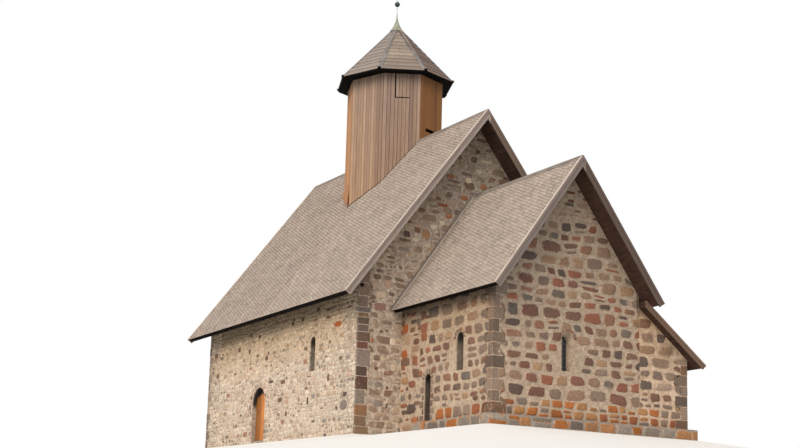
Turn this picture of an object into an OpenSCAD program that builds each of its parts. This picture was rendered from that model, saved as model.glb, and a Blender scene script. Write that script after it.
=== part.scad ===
// Small medieval stone chapel: nave, lower chancel, lean-to vestry and a boarded ridge turret.
// X runs from west to east, Y from south to north, Z up from the lowest course of the walls.

/* [Nave] */
// East face of the nave's east gable
nave_east_x = 3604; // [3400:2:3800]
// Outer length of the nave
nave_length = 14320; // [13500:20:15500]
// Outer width of the nave
nave_width = 9800; // [9400:50:10200]
// Thickness of the nave's rubble walls
nave_wall = 1250; // [900:50:1400]
// Height of the flat wall heads that carry the wall plates
nave_head_z = 5950; // [5850:10:6000]
// Half width of the roof at the eaves
nave_eave_y = 5875; // [5700:5:6000]
// Height of the eaves line
nave_eave_z = 5072; // [4900:2:5300]
// Height of the roof's ridge line
nave_ridge_z = 12830; // [12500:10:13300]
// Overhang of the roof past the east gable
nave_east_overhang = 958; // [700:2:1100]
// Overhang of the roof past the west gable
nave_west_overhang = 270; // [200:10:500]
// Floor level of the nave
nave_floor_z = 300; // [200:10:400]

/* [Chancel] */
// East face of the chancel's east wall
chancel_east_x = 10062; // [9900:2:10300]
// Outer width of the chancel
chancel_width = 6130; // [5900:10:6300]
// Thickness of the chancel's walls
chancel_wall = 1100; // [800:50:1200]
// Height of the flat wall heads
chancel_head_z = 4940; // [4850:10:4960]
// Half width of the roof at the eaves
chancel_eave_y = 3480; // [3400:5:3560]
// Height of the eaves line
chancel_eave_z = 4693; // [4600:1:4800]
// Height of the roof's ridge line
chancel_ridge_z = 9560; // [9300:10:9700]
// Overhang of the roof past the east wall
chancel_overhang = 924; // [700:2:1000]
// Floor level of the chancel
chancel_floor_z = 450; // [350:10:500]
// Width of the round arch between nave and chancel
chancel_arch_w = 2300; // [1800:50:2600]
// Height of the arch's springing
chancel_arch_spring_z = 2600; // [2200:50:3000]

/* [Vestry] */
// West face of the vestry on the chancel's north side
vestry_west_x = 5200; // [4800:50:5800]
// North face of the vestry
vestry_north_y = 5200; // [5000:10:5300]
// Thickness of the vestry's walls
vestry_wall = 600; // [450:10:700]
// Northern tip of the lean-to roof
vestry_eave_y = 5680; // [5500:10:5780]
// Height of the lean-to roof's lower edge
vestry_eave_z = 2715; // [2600:5:2740]
// Rise of the lean-to roof for each unit of depth
vestry_slope = 0.79; // [0.7:0.01:0.79]
// Overhang of the lean-to roof at both ends
vestry_overhang = 460; // [300:10:500]
// Middle of the passage from the chancel
passage_x = 7700; // [7000:50:8200]
// Width of the passage
passage_w = 800; // [700:10:1000]
// Head of the passage
passage_head_z = 2400; // [2250:10:2600]

/* [Openings] */
// Middle of the south doorway of the nave
door_x = -5160; // [-6500:20:-4500]
// Width of the doorway between its outer jambs
door_w = 1280; // [1100:10:1500]
// Crown of the doorway's round arch
door_crown_z = 2495; // [2300:5:2600]
// Depth of the outer reveal in front of the leaf
door_reveal = 200; // [150:10:400]
// Widening of the recess behind the outer jambs, each side
door_rebate = 90; // [60:5:150]
// Middle of the narrow south doorway of the chancel
priest_x = 5680; // [5600:10:6000]
// Width of the narrow doorway
priest_w = 440; // [400:10:700]
// Crown of the narrow doorway's arch
priest_crown_z = 2150; // [1900:10:2400]
// Half width of a window at the wall's outer face
window_outer_r = 250; // [200:5:320]
// Half width of a window at its narrow throat
window_throat_r = 140; // [100:5:200]
// Half width of a window at the wall's inner face
window_inner_r = 480; // [300:10:600]
// Distance from the outer face to the throat
window_throat_depth = 330; // [200:10:500]
// Height of the windows' springing above their sills
window_rise = 1110; // [800:10:1300]
// Sill of the nave's windows
nave_sill_z = 2670; // [2400:10:3000]
// Middle of the nave's windows
nave_window_x = -210; // [-700:10:300]
// Sill of the chancel's windows
chancel_sill_z = 2050; // [1800:10:2400]
// Middle of the chancel's south window
chancel_window_x = 7900; // [7400:50:8300]

/* [Turret] */
// Middle of the turret along the ridge
turret_x = -3270; // [-3700:10:-2900]
// Reach of the eaves along the ridge
turret_reach_x = 2700; // [2500:10:2850]
// Reach of the eaves across the ridge
turret_reach_y = 2520; // [2400:10:2700]
// Reach of the boarded walls along the ridge
turret_body_x = 2320; // [2100:10:2500]
// Reach of the boarded walls across the ridge
turret_body_y = 2000; // [1800:10:2300]
// Height of the turret's eaves
turret_eave_z = 15810; // [15500:10:16200]
// Height at which the roof meets its metal cap
turret_cap_z = 18280; // [18100:5:18600]
// Share of the reach that is left where the cap starts
turret_cap_share = 0.095; // [0.06:0.005:0.12]
// Tip of the metal cap
turret_cap_tip_z = 19090; // [18900:10:19300]
// Middle of the ball on the rod
ball_z = 19550; // [19500:10:19700]
// Radius of the ball
ball_r = 115; // [90:5:140]
// Top of the rod
rod_top_z = 20200; // [20000:20:20500]

/* [Timber] */
// Thickness of the nave's roof, square to its slope
nave_roof_t = 180; // [140:10:220]
// Thickness of the chancel's roof
chancel_roof_t = 160; // [120:10:200]
// Thickness of the lean-to roof
vestry_roof_t = 140; // [100:10:160]
// Thickness of the bargeboards
barge_t = 45; // [35:5:60]
// Depth of the bargeboards, square to the slope
barge_h = 235; // [200:5:380]
// Height of the bargeboards above the shingles
barge_up = 20; // [10:5:25]
// Thickness of the cover strips along the bargeboards' upper edge
strip_t = 28; // [20:2:40]
// Depth of those cover strips
strip_h = 85; // [60:5:160]
// Width of the ridge boards down each slope
ridge_board_w = 190; // [140:10:240]
// Thickness of the ridge boards
ridge_board_t = 35; // [25:5:50]
// Thickness of the door leaves
leaf_t = 70; // [50:5:90]
// Play between a leaf and its recess
leaf_gap = 12; // [8:1:20]

/* [Plinth] */
// Height of the plinth courses
plinth_h = 385; // [250:5:420]
// Projection of the plinth courses
plinth_out = 250; // [100:10:300]
// Height of the block in front of the narrow doorway
step_h = 410; // [300:10:440]

/* [Hidden] */
$fn = 48;

stone = "#a39382";
stone_dark = "#8f8172";
shingle = "#a4958a";
board_grey = "#8d8078";
board_brown = "#9a7657";
leaf_orange = "#b8743a";
board_dark = "#2c2b2b";
glass = "#5b6a72";
metal_green = "#7f8f84";

nave_west_x = nave_east_x - nave_length;
nave_half = nave_width / 2;
nave_inner = nave_half - nave_wall;
nave_pitch = atan2(nave_ridge_z - nave_eave_z, nave_eave_y);
nave_inner_west_x = nave_west_x + nave_wall;
nave_inner_east_x = nave_east_x - nave_wall;

chancel_half = chancel_width / 2;
chancel_inner = chancel_half - chancel_wall;
chancel_pitch = atan2(chancel_ridge_z - chancel_eave_z, chancel_eave_y);
chancel_inner_east_x = chancel_east_x - chancel_wall;

nave_roof_x0 = nave_west_x - nave_west_overhang + barge_t + strip_t;
nave_roof_x1 = nave_east_x + nave_east_overhang - barge_t - strip_t;
chancel_roof_x1 = chancel_east_x + chancel_overhang - barge_t - strip_t;

vestry_roof_x0 = vestry_west_x - vestry_overhang + barge_t + strip_t;
vestry_roof_x1 = chancel_east_x + vestry_overhang - barge_t - strip_t;
vestry_pitch = atan(vestry_slope);
vestry_inner_y = vestry_north_y - vestry_wall;

// Play that keeps masonry and timber from sharing a skin
seat = 0.5;
// Wall plates: distance from the wall's face, width, and rise of their inner edge
plate_in = 60;
plate_w = 260;
plate_up = 80;
// Bargeboards run on this far past the eaves, and the lean-to's are this much shallower
barge_run = 20;
vestry_barge_share = 0.8;
vestry_barge_h = vestry_barge_share * barge_h;
barge_total = barge_t + strip_t;
// Fillet board where the chancel's roof meets the nave's gable
fillet_t = 35;
fillet_h = 110;
// Square head of a doorway's recess above the crown of its arch
recess_up = 130;
// Block in front of the narrow doorway, from that doorway's middle
step_west = 600;
step_east = 276;
step_out = 300;

// Turret: boarded walls, roof shell, dark eaves board and hip boards
turret_wall = 120;
turret_base_z = 9000;
turret_roof_t = 110;
turret_rise = turret_cap_z - turret_eave_z;
eaves_board_h = 90;
hip_board_w = 230;
hip_board_t = 30;
// Hatch on the south-east face, along the face from its middle
hatch_from = -300;
hatch_to = 325;
hatch_sill_z = 14655;
hatch_t = 60;
hatch_gap = 45;
// Slot on the north-east face, just above the ridge
slot_from = -390;
slot_to = 220;
slot_sill_z = 13335;
slot_h = 145;

// Height of a roof's outer surface at distance y from its ridge
function slope_z(ridge_z, pitch, y) = ridge_z - abs(y) * tan(pitch);
// Height of the same roof's underside
function under_z(ridge_z, pitch, thickness, y) = slope_z(ridge_z, pitch, y) - thickness / cos(pitch);
function nave_under(y) = under_z(nave_ridge_z, nave_pitch, nave_roof_t, y) - seat;
function chancel_under(y) = under_z(chancel_ridge_z, chancel_pitch, chancel_roof_t, y) - seat;
function vestry_top(y) = vestry_eave_z + (vestry_eave_y - y) * vestry_slope;
function vestry_under(y) = vestry_top(y) - vestry_roof_t / cos(vestry_pitch) - seat;
// Corner of an octagon counted from the east, from its reach along and across the ridge
function octagon_corner(i, along, across) = [along * cos(45 * i), across * sin(45 * i)];

// Extrudes a profile drawn in Y and Z from x0 to x1
module along_x(x0, x1) {
    translate([x0, 0, 0]) rotate([90, 0, 90]) linear_extrude(x1 - x0) children();
}

// Extrudes a profile drawn in X and Z from y0 to y1
module along_y(y0, y1) {
    translate([0, y1, 0]) rotate([90, 0, 0]) linear_extrude(y1 - y0) children();
}

module block(x0, x1, y0, y1, z0, z1) {
    translate([x0, y0, z0]) cube([x1 - x0, y1 - y0, z1 - z0]);
}

// Round-headed outline, w wide, from z0 to its crown
module round_head(x, w, z0, crown) {
    spring = crown - w / 2;
    translate([x - w / 2, z0]) square([w, spring - z0]);
    translate([x, spring]) circle(w / 2);
}

// Round-headed hole whose half width goes from r0 at depth d0 to r1 at depth d1, into +Y
module splay(d0, r0, d1, r1, sill, spring) {
    translate([0, 0, sill]) linear_extrude(spring - sill)
        polygon([[-r0, d0], [r0, d0], [r1, d1], [-r1, d1]]);
    translate([0, d0, spring]) rotate([-90, 0, 0]) cylinder(h = d1 - d0, r1 = r0, r2 = r1);
}

// Window hole through a wall of thickness t, its outer face at Y 0, splayed to both sides
module window_hole(t, sill) {
    spring = sill + window_rise;
    overlap = 1;
    outer_flare = (window_outer_r - window_throat_r) / window_throat_depth;
    inner_flare = (window_inner_r - window_throat_r) / (t - window_throat_depth);
    outer_r = window_outer_r + outer_flare * overlap;
    inner_r = window_inner_r + inner_flare * overlap;
    splay(-overlap, outer_r, window_throat_depth, window_throat_r, sill, spring);
    splay(window_throat_depth, window_throat_r, t + overlap, inner_r, sill, spring);
}

// Thin pane in the throat of such a window
module window_pane(sill) {
    pane_t = 16;
    translate([0, window_throat_depth, 0]) along_y(-pane_t, 0)
        round_head(0, 2 * window_throat_r, sill, sill + window_rise + window_throat_r);
}

// Plan of a doorway through a wall with its outer face at Y 0: outer jambs, then the wider recess
module doorway_plan(t, w, reveal, rebate) {
    translate([-w / 2, -1]) square([w, reveal + 2]);
    translate([-w / 2 - rebate, reveal]) square([w + 2 * rebate, t - reveal + 1]);
}

// Floor inside a doorway, flush with the wall's outer face
module doorway_floor(t, w, floor_z) {
    linear_extrude(floor_z) intersection() {
        doorway_plan(t, w, door_reveal, door_rebate);
        translate([-w, 0]) square([2 * w, t]);
    }
}

// Wall above a doorway: spandrels round the arch in front, a flat head behind
module over_doorway(t, w, reveal, rebate, crown, head_z, top_z) {
    spring = crown - w / 2;
    difference() {
        along_y(0, reveal) translate([-w / 2, spring]) square([w, top_z - spring]);
        along_y(-1, reveal + 1) translate([0, spring]) circle(w / 2);
    }
    block(-w / 2 - rebate, w / 2 + rebate, reveal, t, head_z, top_z);
}

// One slope of a gabled roof as a profile, south side
module roof_slope(ridge_z, eave_y, eave_z, thickness, pitch) {
    polygon([
        [-eave_y, eave_z],
        [0, ridge_z],
        [0, ridge_z - thickness / cos(pitch)],
        [-eave_y + thickness * sin(pitch), eave_z - thickness * cos(pitch)]
    ]);
}

// Board along a verge as a profile, south side: from up above the slope to down below it
module verge_board(ridge_z, pitch, eave_y, up, down) {
    foot_y = eave_y + barge_run;
    foot_z = slope_z(ridge_z, pitch, foot_y);
    polygon([
        [0, ridge_z + up / cos(pitch)],
        [-foot_y - up * sin(pitch), foot_z + up * cos(pitch)],
        [-foot_y + down * sin(pitch), foot_z - down * cos(pitch)],
        [0, ridge_z - down / cos(pitch)]
    ]);
}

// Two boards that cap a ridge, as a profile
module ridge_profile(roof_z, pitch) {
    ridge_z = roof_z + seat;
    run = ridge_board_w * cos(pitch);
    rise = ridge_board_t / cos(pitch);
    drop = run * tan(pitch);
    polygon([
        [-run, ridge_z - drop],
        [0, ridge_z],
        [run, ridge_z - drop],
        [run, ridge_z - drop + rise],
        [0, ridge_z + rise],
        [-run, ridge_z - drop + rise]
    ]);
}

// Wall plate as a profile, south side, its top planed to the roof's underside
module wall_plate(half, head_z, pitch, low) {
    outer = half - plate_in;
    inner = outer - plate_w;
    polygon([
        [-outer, head_z],
        [-inner, head_z],
        [-inner, low + plate_up],
        [-outer + plate_up / tan(pitch), low + plate_up],
        [-outer, low]
    ]);
}

// Nave

module nave_south_wall_west() {
    color(stone) difference() {
        block(nave_inner_west_x, door_x, -nave_half, -nave_inner, 0, nave_head_z);
        translate([door_x, -nave_half, -1]) linear_extrude(nave_head_z + 2)
            doorway_plan(nave_wall, door_w, door_reveal, door_rebate);
    }
}

module nave_south_wall_east() {
    color(stone) difference() {
        block(door_x, nave_inner_east_x, -nave_half, -nave_inner, 0, nave_head_z);
        translate([door_x, -nave_half, -1]) linear_extrude(nave_head_z + 2)
            doorway_plan(nave_wall, door_w, door_reveal, door_rebate);
        translate([nave_window_x, -nave_half, 0]) window_hole(nave_wall, nave_sill_z);
    }
}

module nave_south_wall_over_door() {
    color(stone) translate([door_x, -nave_half, 0])
        over_doorway(nave_wall, door_w, door_reveal, door_rebate, door_crown_z, door_crown_z + recess_up,
            nave_head_z);
}

module nave_north_wall() {
    color(stone) difference() {
        block(nave_inner_west_x, nave_inner_east_x, nave_inner, nave_half, 0, nave_head_z);
        translate([nave_window_x, nave_half, 0]) rotate(180) window_hole(nave_wall, nave_sill_z);
    }
}

module gable_outline(half, base_z) {
    polygon([
        [-half, base_z],
        [half, base_z],
        [half, nave_under(half)],
        [0, nave_under(0)],
        [-half, nave_under(half)]
    ]);
}

module nave_west_wall() {
    color(stone) along_x(nave_west_x, nave_inner_west_x) gable_outline(nave_half, 0);
}

module nave_east_wall_south() {
    color(stone_dark)
        block(nave_inner_east_x, nave_east_x, -nave_half, -chancel_arch_w / 2, 0, nave_head_z);
}

module nave_east_wall_north() {
    color(stone_dark)
        block(nave_inner_east_x, nave_east_x, chancel_arch_w / 2, nave_half, 0, nave_head_z);
}

module nave_east_wall_over_arch() {
    color(stone_dark) difference() {
        block(nave_inner_east_x, nave_east_x, -chancel_arch_w / 2, chancel_arch_w / 2,
            chancel_arch_spring_z, nave_head_z);
        along_x(nave_inner_east_x - 1, nave_east_x + 1)
            translate([0, chancel_arch_spring_z]) circle(chancel_arch_w / 2);
    }
}

module nave_east_gable() {
    color(stone_dark) along_x(nave_inner_east_x, nave_east_x) gable_outline(nave_half, nave_head_z);
}

module nave_floor() {
    color(stone) {
        block(nave_inner_west_x, nave_inner_east_x, -nave_inner, nave_inner, 0, nave_floor_z);
        translate([door_x, -nave_half, 0]) doorway_floor(nave_wall, door_w, nave_floor_z);
        block(nave_inner_east_x, nave_east_x, -chancel_arch_w / 2, chancel_arch_w / 2, 0, nave_floor_z);
    }
}

module nave_wall_plates() {
    color(board_grey) for (side = [0, 1]) mirror([0, side, 0])
        along_x(nave_inner_west_x, nave_inner_east_x)
            wall_plate(nave_half, nave_head_z, nave_pitch, nave_under(nave_half - plate_in));
}

module nave_roof_south() {
    color(shingle) along_x(nave_roof_x0, nave_roof_x1)
        roof_slope(nave_ridge_z, nave_eave_y, nave_eave_z, nave_roof_t, nave_pitch);
}

module nave_roof_north() {
    mirror([0, 1, 0]) nave_roof_south();
}

// Both boards of a gable with the cover strip on their face, outward from x0 in direction out
module barge_pair(x0, out, ridge_z, eave_y, pitch) {
    for (side = [0, 1]) mirror([0, side, 0]) translate([x0, 0, 0]) mirror([out < 0 ? 1 : 0, 0, 0]) {
        along_x(0, barge_t) verge_board(ridge_z, pitch, eave_y, barge_up, barge_h - barge_up);
        along_x(barge_t, barge_total) verge_board(ridge_z, pitch, eave_y, barge_up, strip_h - barge_up);
    }
}

module nave_bargeboards() {
    color(board_grey) {
        barge_pair(nave_roof_x1, 1, nave_ridge_z, nave_eave_y, nave_pitch);
        barge_pair(nave_roof_x0, -1, nave_ridge_z, nave_eave_y, nave_pitch);
    }
}

module nave_window_panes() {
    color(glass) {
        translate([nave_window_x, -nave_half, 0]) window_pane(nave_sill_z);
        translate([nave_window_x, nave_half, 0]) rotate(180) window_pane(nave_sill_z);
    }
}

// Door leaf behind the outer jambs of a doorway, hinged on its west side and opening inwards
module leaf(w, rebate, reveal, floor_z, head_z) {
    width = w + 2 * rebate - 2 * leaf_gap;
    front = reveal + leaf_gap / 2;
    block(-width / 2, width / 2, front, front + leaf_t, floor_z + leaf_gap, head_z - leaf_gap);
}

module nave_door() {
    color(leaf_orange) translate([door_x, -nave_half, 0])
        leaf(door_w, door_rebate, door_reveal, nave_floor_z, door_crown_z + recess_up);
}

// Chancel

module chancel_south_wall_west() {
    color(stone) difference() {
        block(nave_east_x, priest_x, -chancel_half, -chancel_inner, 0, chancel_head_z);
        translate([priest_x, -chancel_half, -1]) linear_extrude(chancel_head_z + 2)
            doorway_plan(chancel_wall, priest_w, door_reveal, door_rebate);
    }
}

module chancel_south_wall_east() {
    color(stone) difference() {
        block(priest_x, chancel_inner_east_x, -chancel_half, -chancel_inner, 0, chancel_head_z);
        translate([priest_x, -chancel_half, -1]) linear_extrude(chancel_head_z + 2)
            doorway_plan(chancel_wall, priest_w, door_reveal, door_rebate);
        translate([chancel_window_x, -chancel_half, 0]) window_hole(chancel_wall, chancel_sill_z);
    }
}

module chancel_south_wall_over_door() {
    color(stone) translate([priest_x, -chancel_half, 0])
        over_doorway(chancel_wall, priest_w, door_reveal, door_rebate, priest_crown_z,
            priest_crown_z + recess_up, chancel_head_z);
}

module chancel_north_wall_west() {
    color(stone)
        block(nave_east_x, passage_x - passage_w / 2, chancel_inner, chancel_half, 0, chancel_head_z);
}

module chancel_north_wall_east() {
    color(stone)
        block(passage_x + passage_w / 2, chancel_inner_east_x, chancel_inner, chancel_half,
            0, chancel_head_z);
}

module chancel_north_wall_over_passage() {
    color(stone) block(passage_x - passage_w / 2, passage_x + passage_w / 2, chancel_inner, chancel_half,
        passage_head_z, chancel_head_z);
}

module chancel_east_wall() {
    color(stone) difference() {
        along_x(chancel_inner_east_x, chancel_east_x) polygon([
            [-chancel_half, 0],
            [chancel_half, 0],
            [chancel_half, chancel_under(chancel_half)],
            [0, chancel_under(0)],
            [-chancel_half, chancel_under(chancel_half)]
        ]);
        translate([chancel_east_x, 0, 0]) rotate(90) window_hole(chancel_wall, chancel_sill_z);
    }
}

module chancel_floor() {
    color(stone) {
        block(nave_east_x, chancel_inner_east_x, -chancel_inner, chancel_inner, 0, chancel_floor_z);
        translate([priest_x, -chancel_half, 0]) doorway_floor(chancel_wall, priest_w, chancel_floor_z);
        block(passage_x - passage_w / 2, passage_x + passage_w / 2, chancel_inner, chancel_half,
            0, chancel_floor_z);
        block(vestry_west_x + vestry_wall, chancel_east_x - vestry_wall,
            chancel_half, vestry_inner_y, 0, chancel_floor_z);
    }
}

module chancel_wall_plates() {
    color(board_grey) for (side = [0, 1]) mirror([0, side, 0])
        along_x(nave_east_x, chancel_inner_east_x) wall_plate(chancel_half, chancel_head_z, chancel_pitch,
            chancel_under(chancel_half - plate_in));
}

module chancel_roof_south() {
    color(shingle) along_x(nave_east_x, chancel_roof_x1)
        roof_slope(chancel_ridge_z, chancel_eave_y, chancel_eave_z, chancel_roof_t, chancel_pitch);
}

module chancel_roof_north() {
    mirror([0, 1, 0]) chancel_roof_south();
}

module ridge_boards() {
    color(board_grey) {
        along_x(nave_roof_x0, nave_roof_x1) ridge_profile(nave_ridge_z, nave_pitch);
        along_x(nave_east_x + fillet_t, chancel_roof_x1) ridge_profile(chancel_ridge_z, chancel_pitch);
    }
}

module chancel_bargeboards() {
    color(board_grey) {
        barge_pair(chancel_roof_x1, 1, chancel_ridge_z, chancel_eave_y, chancel_pitch);
        for (side = [0, 1]) mirror([0, side, 0]) along_x(nave_east_x, nave_east_x + fillet_t)
            verge_board(chancel_ridge_z, chancel_pitch, chancel_eave_y - barge_run, fillet_h, -seat);
    }
}

module chancel_window_panes() {
    color(glass) {
        translate([chancel_window_x, -chancel_half, 0]) window_pane(chancel_sill_z);
        translate([chancel_east_x, 0, 0]) rotate(90) window_pane(chancel_sill_z);
    }
}

module chancel_door() {
    color(board_brown) translate([priest_x, -chancel_half, 0])
        leaf(priest_w, door_rebate, door_reveal, chancel_floor_z, priest_crown_z + recess_up);
}

module chancel_door_step() {
    color(stone_dark)
        block(priest_x - step_west, priest_x + step_east, -chancel_half - step_out, -chancel_half, 0, step_h);
}

// Vestry

module vestry_north_wall() {
    color(stone) along_x(vestry_west_x, chancel_east_x) polygon([
        [vestry_inner_y, 0],
        [vestry_north_y, 0],
        [vestry_north_y, vestry_under(vestry_north_y)],
        [vestry_inner_y, vestry_under(vestry_inner_y)]
    ]);
}

module vestry_end_wall(x0) {
    along_x(x0, x0 + vestry_wall) polygon([
        [chancel_half, 0],
        [vestry_inner_y, 0],
        [vestry_inner_y, vestry_under(vestry_inner_y)],
        [chancel_half, vestry_under(chancel_half)]
    ]);
}

module vestry_east_wall() {
    color(stone) vestry_end_wall(chancel_east_x - vestry_wall);
}

module vestry_west_wall() {
    color(stone) vestry_end_wall(vestry_west_x);
}

module vestry_roof() {
    foot_in = vestry_roof_t * sin(vestry_pitch);
    foot_down = vestry_roof_t * cos(vestry_pitch);
    color(shingle) along_x(vestry_roof_x0, vestry_roof_x1) polygon([
        [vestry_eave_y, vestry_eave_z],
        [chancel_half, vestry_top(chancel_half)],
        [chancel_half, vestry_top(chancel_half) - vestry_roof_t / cos(vestry_pitch)],
        [vestry_eave_y - foot_in, vestry_eave_z - foot_down]
    ]);
}

module vestry_bargeboards() {
    // The slope goes on up to this height over Y 0
    crest_z = vestry_top(0);
    color(board_grey) difference() {
        for (end = [[vestry_roof_x0, 1], [vestry_roof_x1, 0]])
            translate([end[0], 0, 0]) mirror([end[1], 0, 0]) mirror([0, 1, 0]) {
                along_x(0, barge_t)
                    verge_board(crest_z, vestry_pitch, vestry_eave_y, barge_up, vestry_barge_h - barge_up);
                along_x(barge_t, barge_total)
                    verge_board(crest_z, vestry_pitch, vestry_eave_y, barge_up, strip_h - barge_up);
            }
        block(nave_east_x, chancel_roof_x1, -chancel_half, chancel_half, 0, nave_ridge_z);
    }
}

module plinth() {
    west_x = priest_x + step_east;
    color(stone_dark) linear_extrude(plinth_h) polygon([
        [west_x, -chancel_half],
        [west_x, -chancel_half - plinth_out],
        [chancel_east_x + plinth_out, -chancel_half - plinth_out],
        [chancel_east_x + plinth_out, vestry_north_y + plinth_out],
        [vestry_west_x, vestry_north_y + plinth_out],
        [vestry_west_x, vestry_north_y],
        [chancel_east_x, vestry_north_y],
        [chancel_east_x, -chancel_half]
    ]);
}

// Turret

module octagon(along, across) {
    polygon([for (i = [0:7]) octagon_corner(i, along, across)]);
}

// Inner outline of the boarded walls
module turret_inside() {
    octagon(turret_body_x - turret_wall, turret_body_y - turret_wall);
}

// Box on the turret's wall between corner i and the next: along the face from its middle, and inwards
module turret_face_box(i, from, to, z0, z1, depth, proud) {
    a = octagon_corner(i, turret_body_x, turret_body_y);
    b = octagon_corner(i + 1, turret_body_x, turret_body_y);
    middle = (a + b) / 2;
    translate([turret_x + middle[0], middle[1], 0]) rotate(atan2(b[1] - a[1], b[0] - a[0]))
        block(from, to, -proud, depth, z0, z1);
}

module turret_walls() {
    foot_z = turret_base_z;
    head_z = turret_eave_z - eaves_board_h;
    color(board_brown) difference() {
        translate([turret_x, 0, foot_z]) difference() {
            linear_extrude(head_z - foot_z) octagon(turret_body_x, turret_body_y);
            translate([0, 0, -1]) linear_extrude(head_z - foot_z + 2) turret_inside();
        }
        along_x(turret_x - turret_reach_x, turret_x + turret_reach_x) polygon([
            [-nave_eave_y, nave_eave_z],
            [0, nave_ridge_z],
            [nave_eave_y, nave_eave_z]
        ]);
        along_x(turret_x - turret_reach_x, turret_x + turret_reach_x) ridge_profile(nave_ridge_z, nave_pitch);
        turret_face_box(7, hatch_from, hatch_to, hatch_sill_z, head_z + 1, 2 * turret_wall, 1);
        turret_face_box(0, slot_from, slot_to, slot_sill_z, slot_sill_z + slot_h, 2 * turret_wall, 1);
    }
}

// Board leaf that closes the hatch, with open joints on its south side and at its sill
module turret_hatch() {
    color(board_brown) turret_face_box(7, hatch_from + hatch_gap, hatch_to, hatch_sill_z + hatch_gap,
        turret_eave_z - eaves_board_h - seat, hatch_t, 0);
}

// Dark ring under the roof: the eaves boards and the soffit between them and the wall
module turret_soffit() {
    color(board_dark) translate([turret_x, 0, turret_eave_z - eaves_board_h])
        linear_extrude(eaves_board_h) difference() {
            octagon(turret_reach_x, turret_reach_y);
            turret_inside();
        }
}

// Eight-sided roof from the eaves to the metal cap
module turret_pyramid() {
    linear_extrude(turret_rise, scale = turret_cap_share) octagon(turret_reach_x, turret_reach_y);
}

module turret_roof() {
    apothem = turret_reach_y * cos(22.5) * (1 - turret_cap_share);
    drop = turret_roof_t / cos(atan2(turret_rise, apothem));
    color(shingle) translate([turret_x, 0, turret_eave_z]) difference() {
        turret_pyramid();
        translate([0, 0, -drop]) turret_pyramid();
    }
}

// Pairs of boards along the hips: the roof's own shape lifted by their thickness, cut to their width
module turret_hip_boards() {
    lean = atan2(turret_rise, turret_reach_y * (1 - turret_cap_share));
    lift = hip_board_t / cos(lean);
    color(board_grey) translate([turret_x, 0, turret_eave_z]) intersection() {
        difference() {
            translate([0, 0, lift]) turret_pyramid();
            translate([0, 0, seat]) turret_pyramid();
        }
        for (i = [0:7]) {
            corner = octagon_corner(i, turret_reach_x, turret_reach_y);
            rotate(atan2(corner[1], corner[0]))
                block(0, turret_reach_x, -hip_board_w / 2, hip_board_w / 2, 0, turret_rise);
        }
    }
}

// Concave eight-sided metal cap over the ends of the hip boards
module turret_cap() {
    skirt = 60;
    base_r = turret_cap_share * turret_reach_x + skirt;
    tip_r = 22;
    hollow = 2.1;
    height = turret_cap_tip_z - turret_cap_z;
    steps = 8;
    color(metal_green) translate([turret_x, 0, turret_cap_z]) rotate_extrude($fn = 8) polygon([
        [0, 0],
        for (t = [0:steps]) [tip_r + (base_r - tip_r) * pow(1 - t / steps, hollow), height * t / steps],
        [0, height]
    ]);
}

module finial() {
    rod_r = 16;
    color(metal_green) translate([turret_x, 0, 0]) {
        translate([0, 0, turret_cap_tip_z]) cylinder(h = rod_top_z - turret_cap_tip_z, r = rod_r);
        translate([0, 0, ball_z]) sphere(ball_r);
    }
}

nave_south_wall_west();
nave_south_wall_east();
nave_south_wall_over_door();
nave_north_wall();
nave_west_wall();
nave_east_wall_south();
nave_east_wall_north();
nave_east_wall_over_arch();
nave_east_gable();
nave_floor();
nave_wall_plates();
nave_roof_south();
nave_roof_north();
nave_bargeboards();
nave_window_panes();
nave_door();
chancel_south_wall_west();
chancel_south_wall_east();
chancel_south_wall_over_door();
chancel_north_wall_west();
chancel_north_wall_east();
chancel_north_wall_over_passage();
chancel_east_wall();
chancel_floor();
chancel_wall_plates();
chancel_roof_south();
chancel_roof_north();
ridge_boards();
chancel_bargeboards();
chancel_window_panes();
chancel_door();
chancel_door_step();
vestry_north_wall();
vestry_east_wall();
vestry_west_wall();
vestry_roof();
vestry_bargeboards();
plinth();
turret_walls();
turret_soffit();
turret_roof();
turret_hip_boards();
turret_hatch();
turret_cap();
finial();
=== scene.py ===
import math

import bpy
import numpy as np
from mathutils import Matrix, Vector


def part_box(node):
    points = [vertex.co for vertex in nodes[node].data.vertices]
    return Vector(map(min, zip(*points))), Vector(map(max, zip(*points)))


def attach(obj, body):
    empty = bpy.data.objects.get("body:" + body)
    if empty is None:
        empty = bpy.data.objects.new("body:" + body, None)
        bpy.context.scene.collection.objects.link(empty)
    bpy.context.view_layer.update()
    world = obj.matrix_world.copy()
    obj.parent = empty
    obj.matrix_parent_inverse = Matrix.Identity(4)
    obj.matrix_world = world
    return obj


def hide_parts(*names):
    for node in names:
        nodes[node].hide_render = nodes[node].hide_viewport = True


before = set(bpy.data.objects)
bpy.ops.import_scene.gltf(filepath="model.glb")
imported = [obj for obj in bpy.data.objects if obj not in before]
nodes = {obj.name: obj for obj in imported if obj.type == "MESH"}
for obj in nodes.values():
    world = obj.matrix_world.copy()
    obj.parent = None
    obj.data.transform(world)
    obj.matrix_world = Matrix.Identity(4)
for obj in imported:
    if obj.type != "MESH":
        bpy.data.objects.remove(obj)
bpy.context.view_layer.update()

random = np.random.default_rng(41)
print("frame loaded:", len(nodes), "nodes")


# places read from the frame


def nodePoints(name):
    # every corner of a CAD node as an array, in metres
    found = np.empty(len(nodes[name].data.vertices) * 3, np.float32)
    nodes[name].data.vertices.foreach_get("co", found)
    return found.reshape(-1, 3).astype(float)


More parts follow.
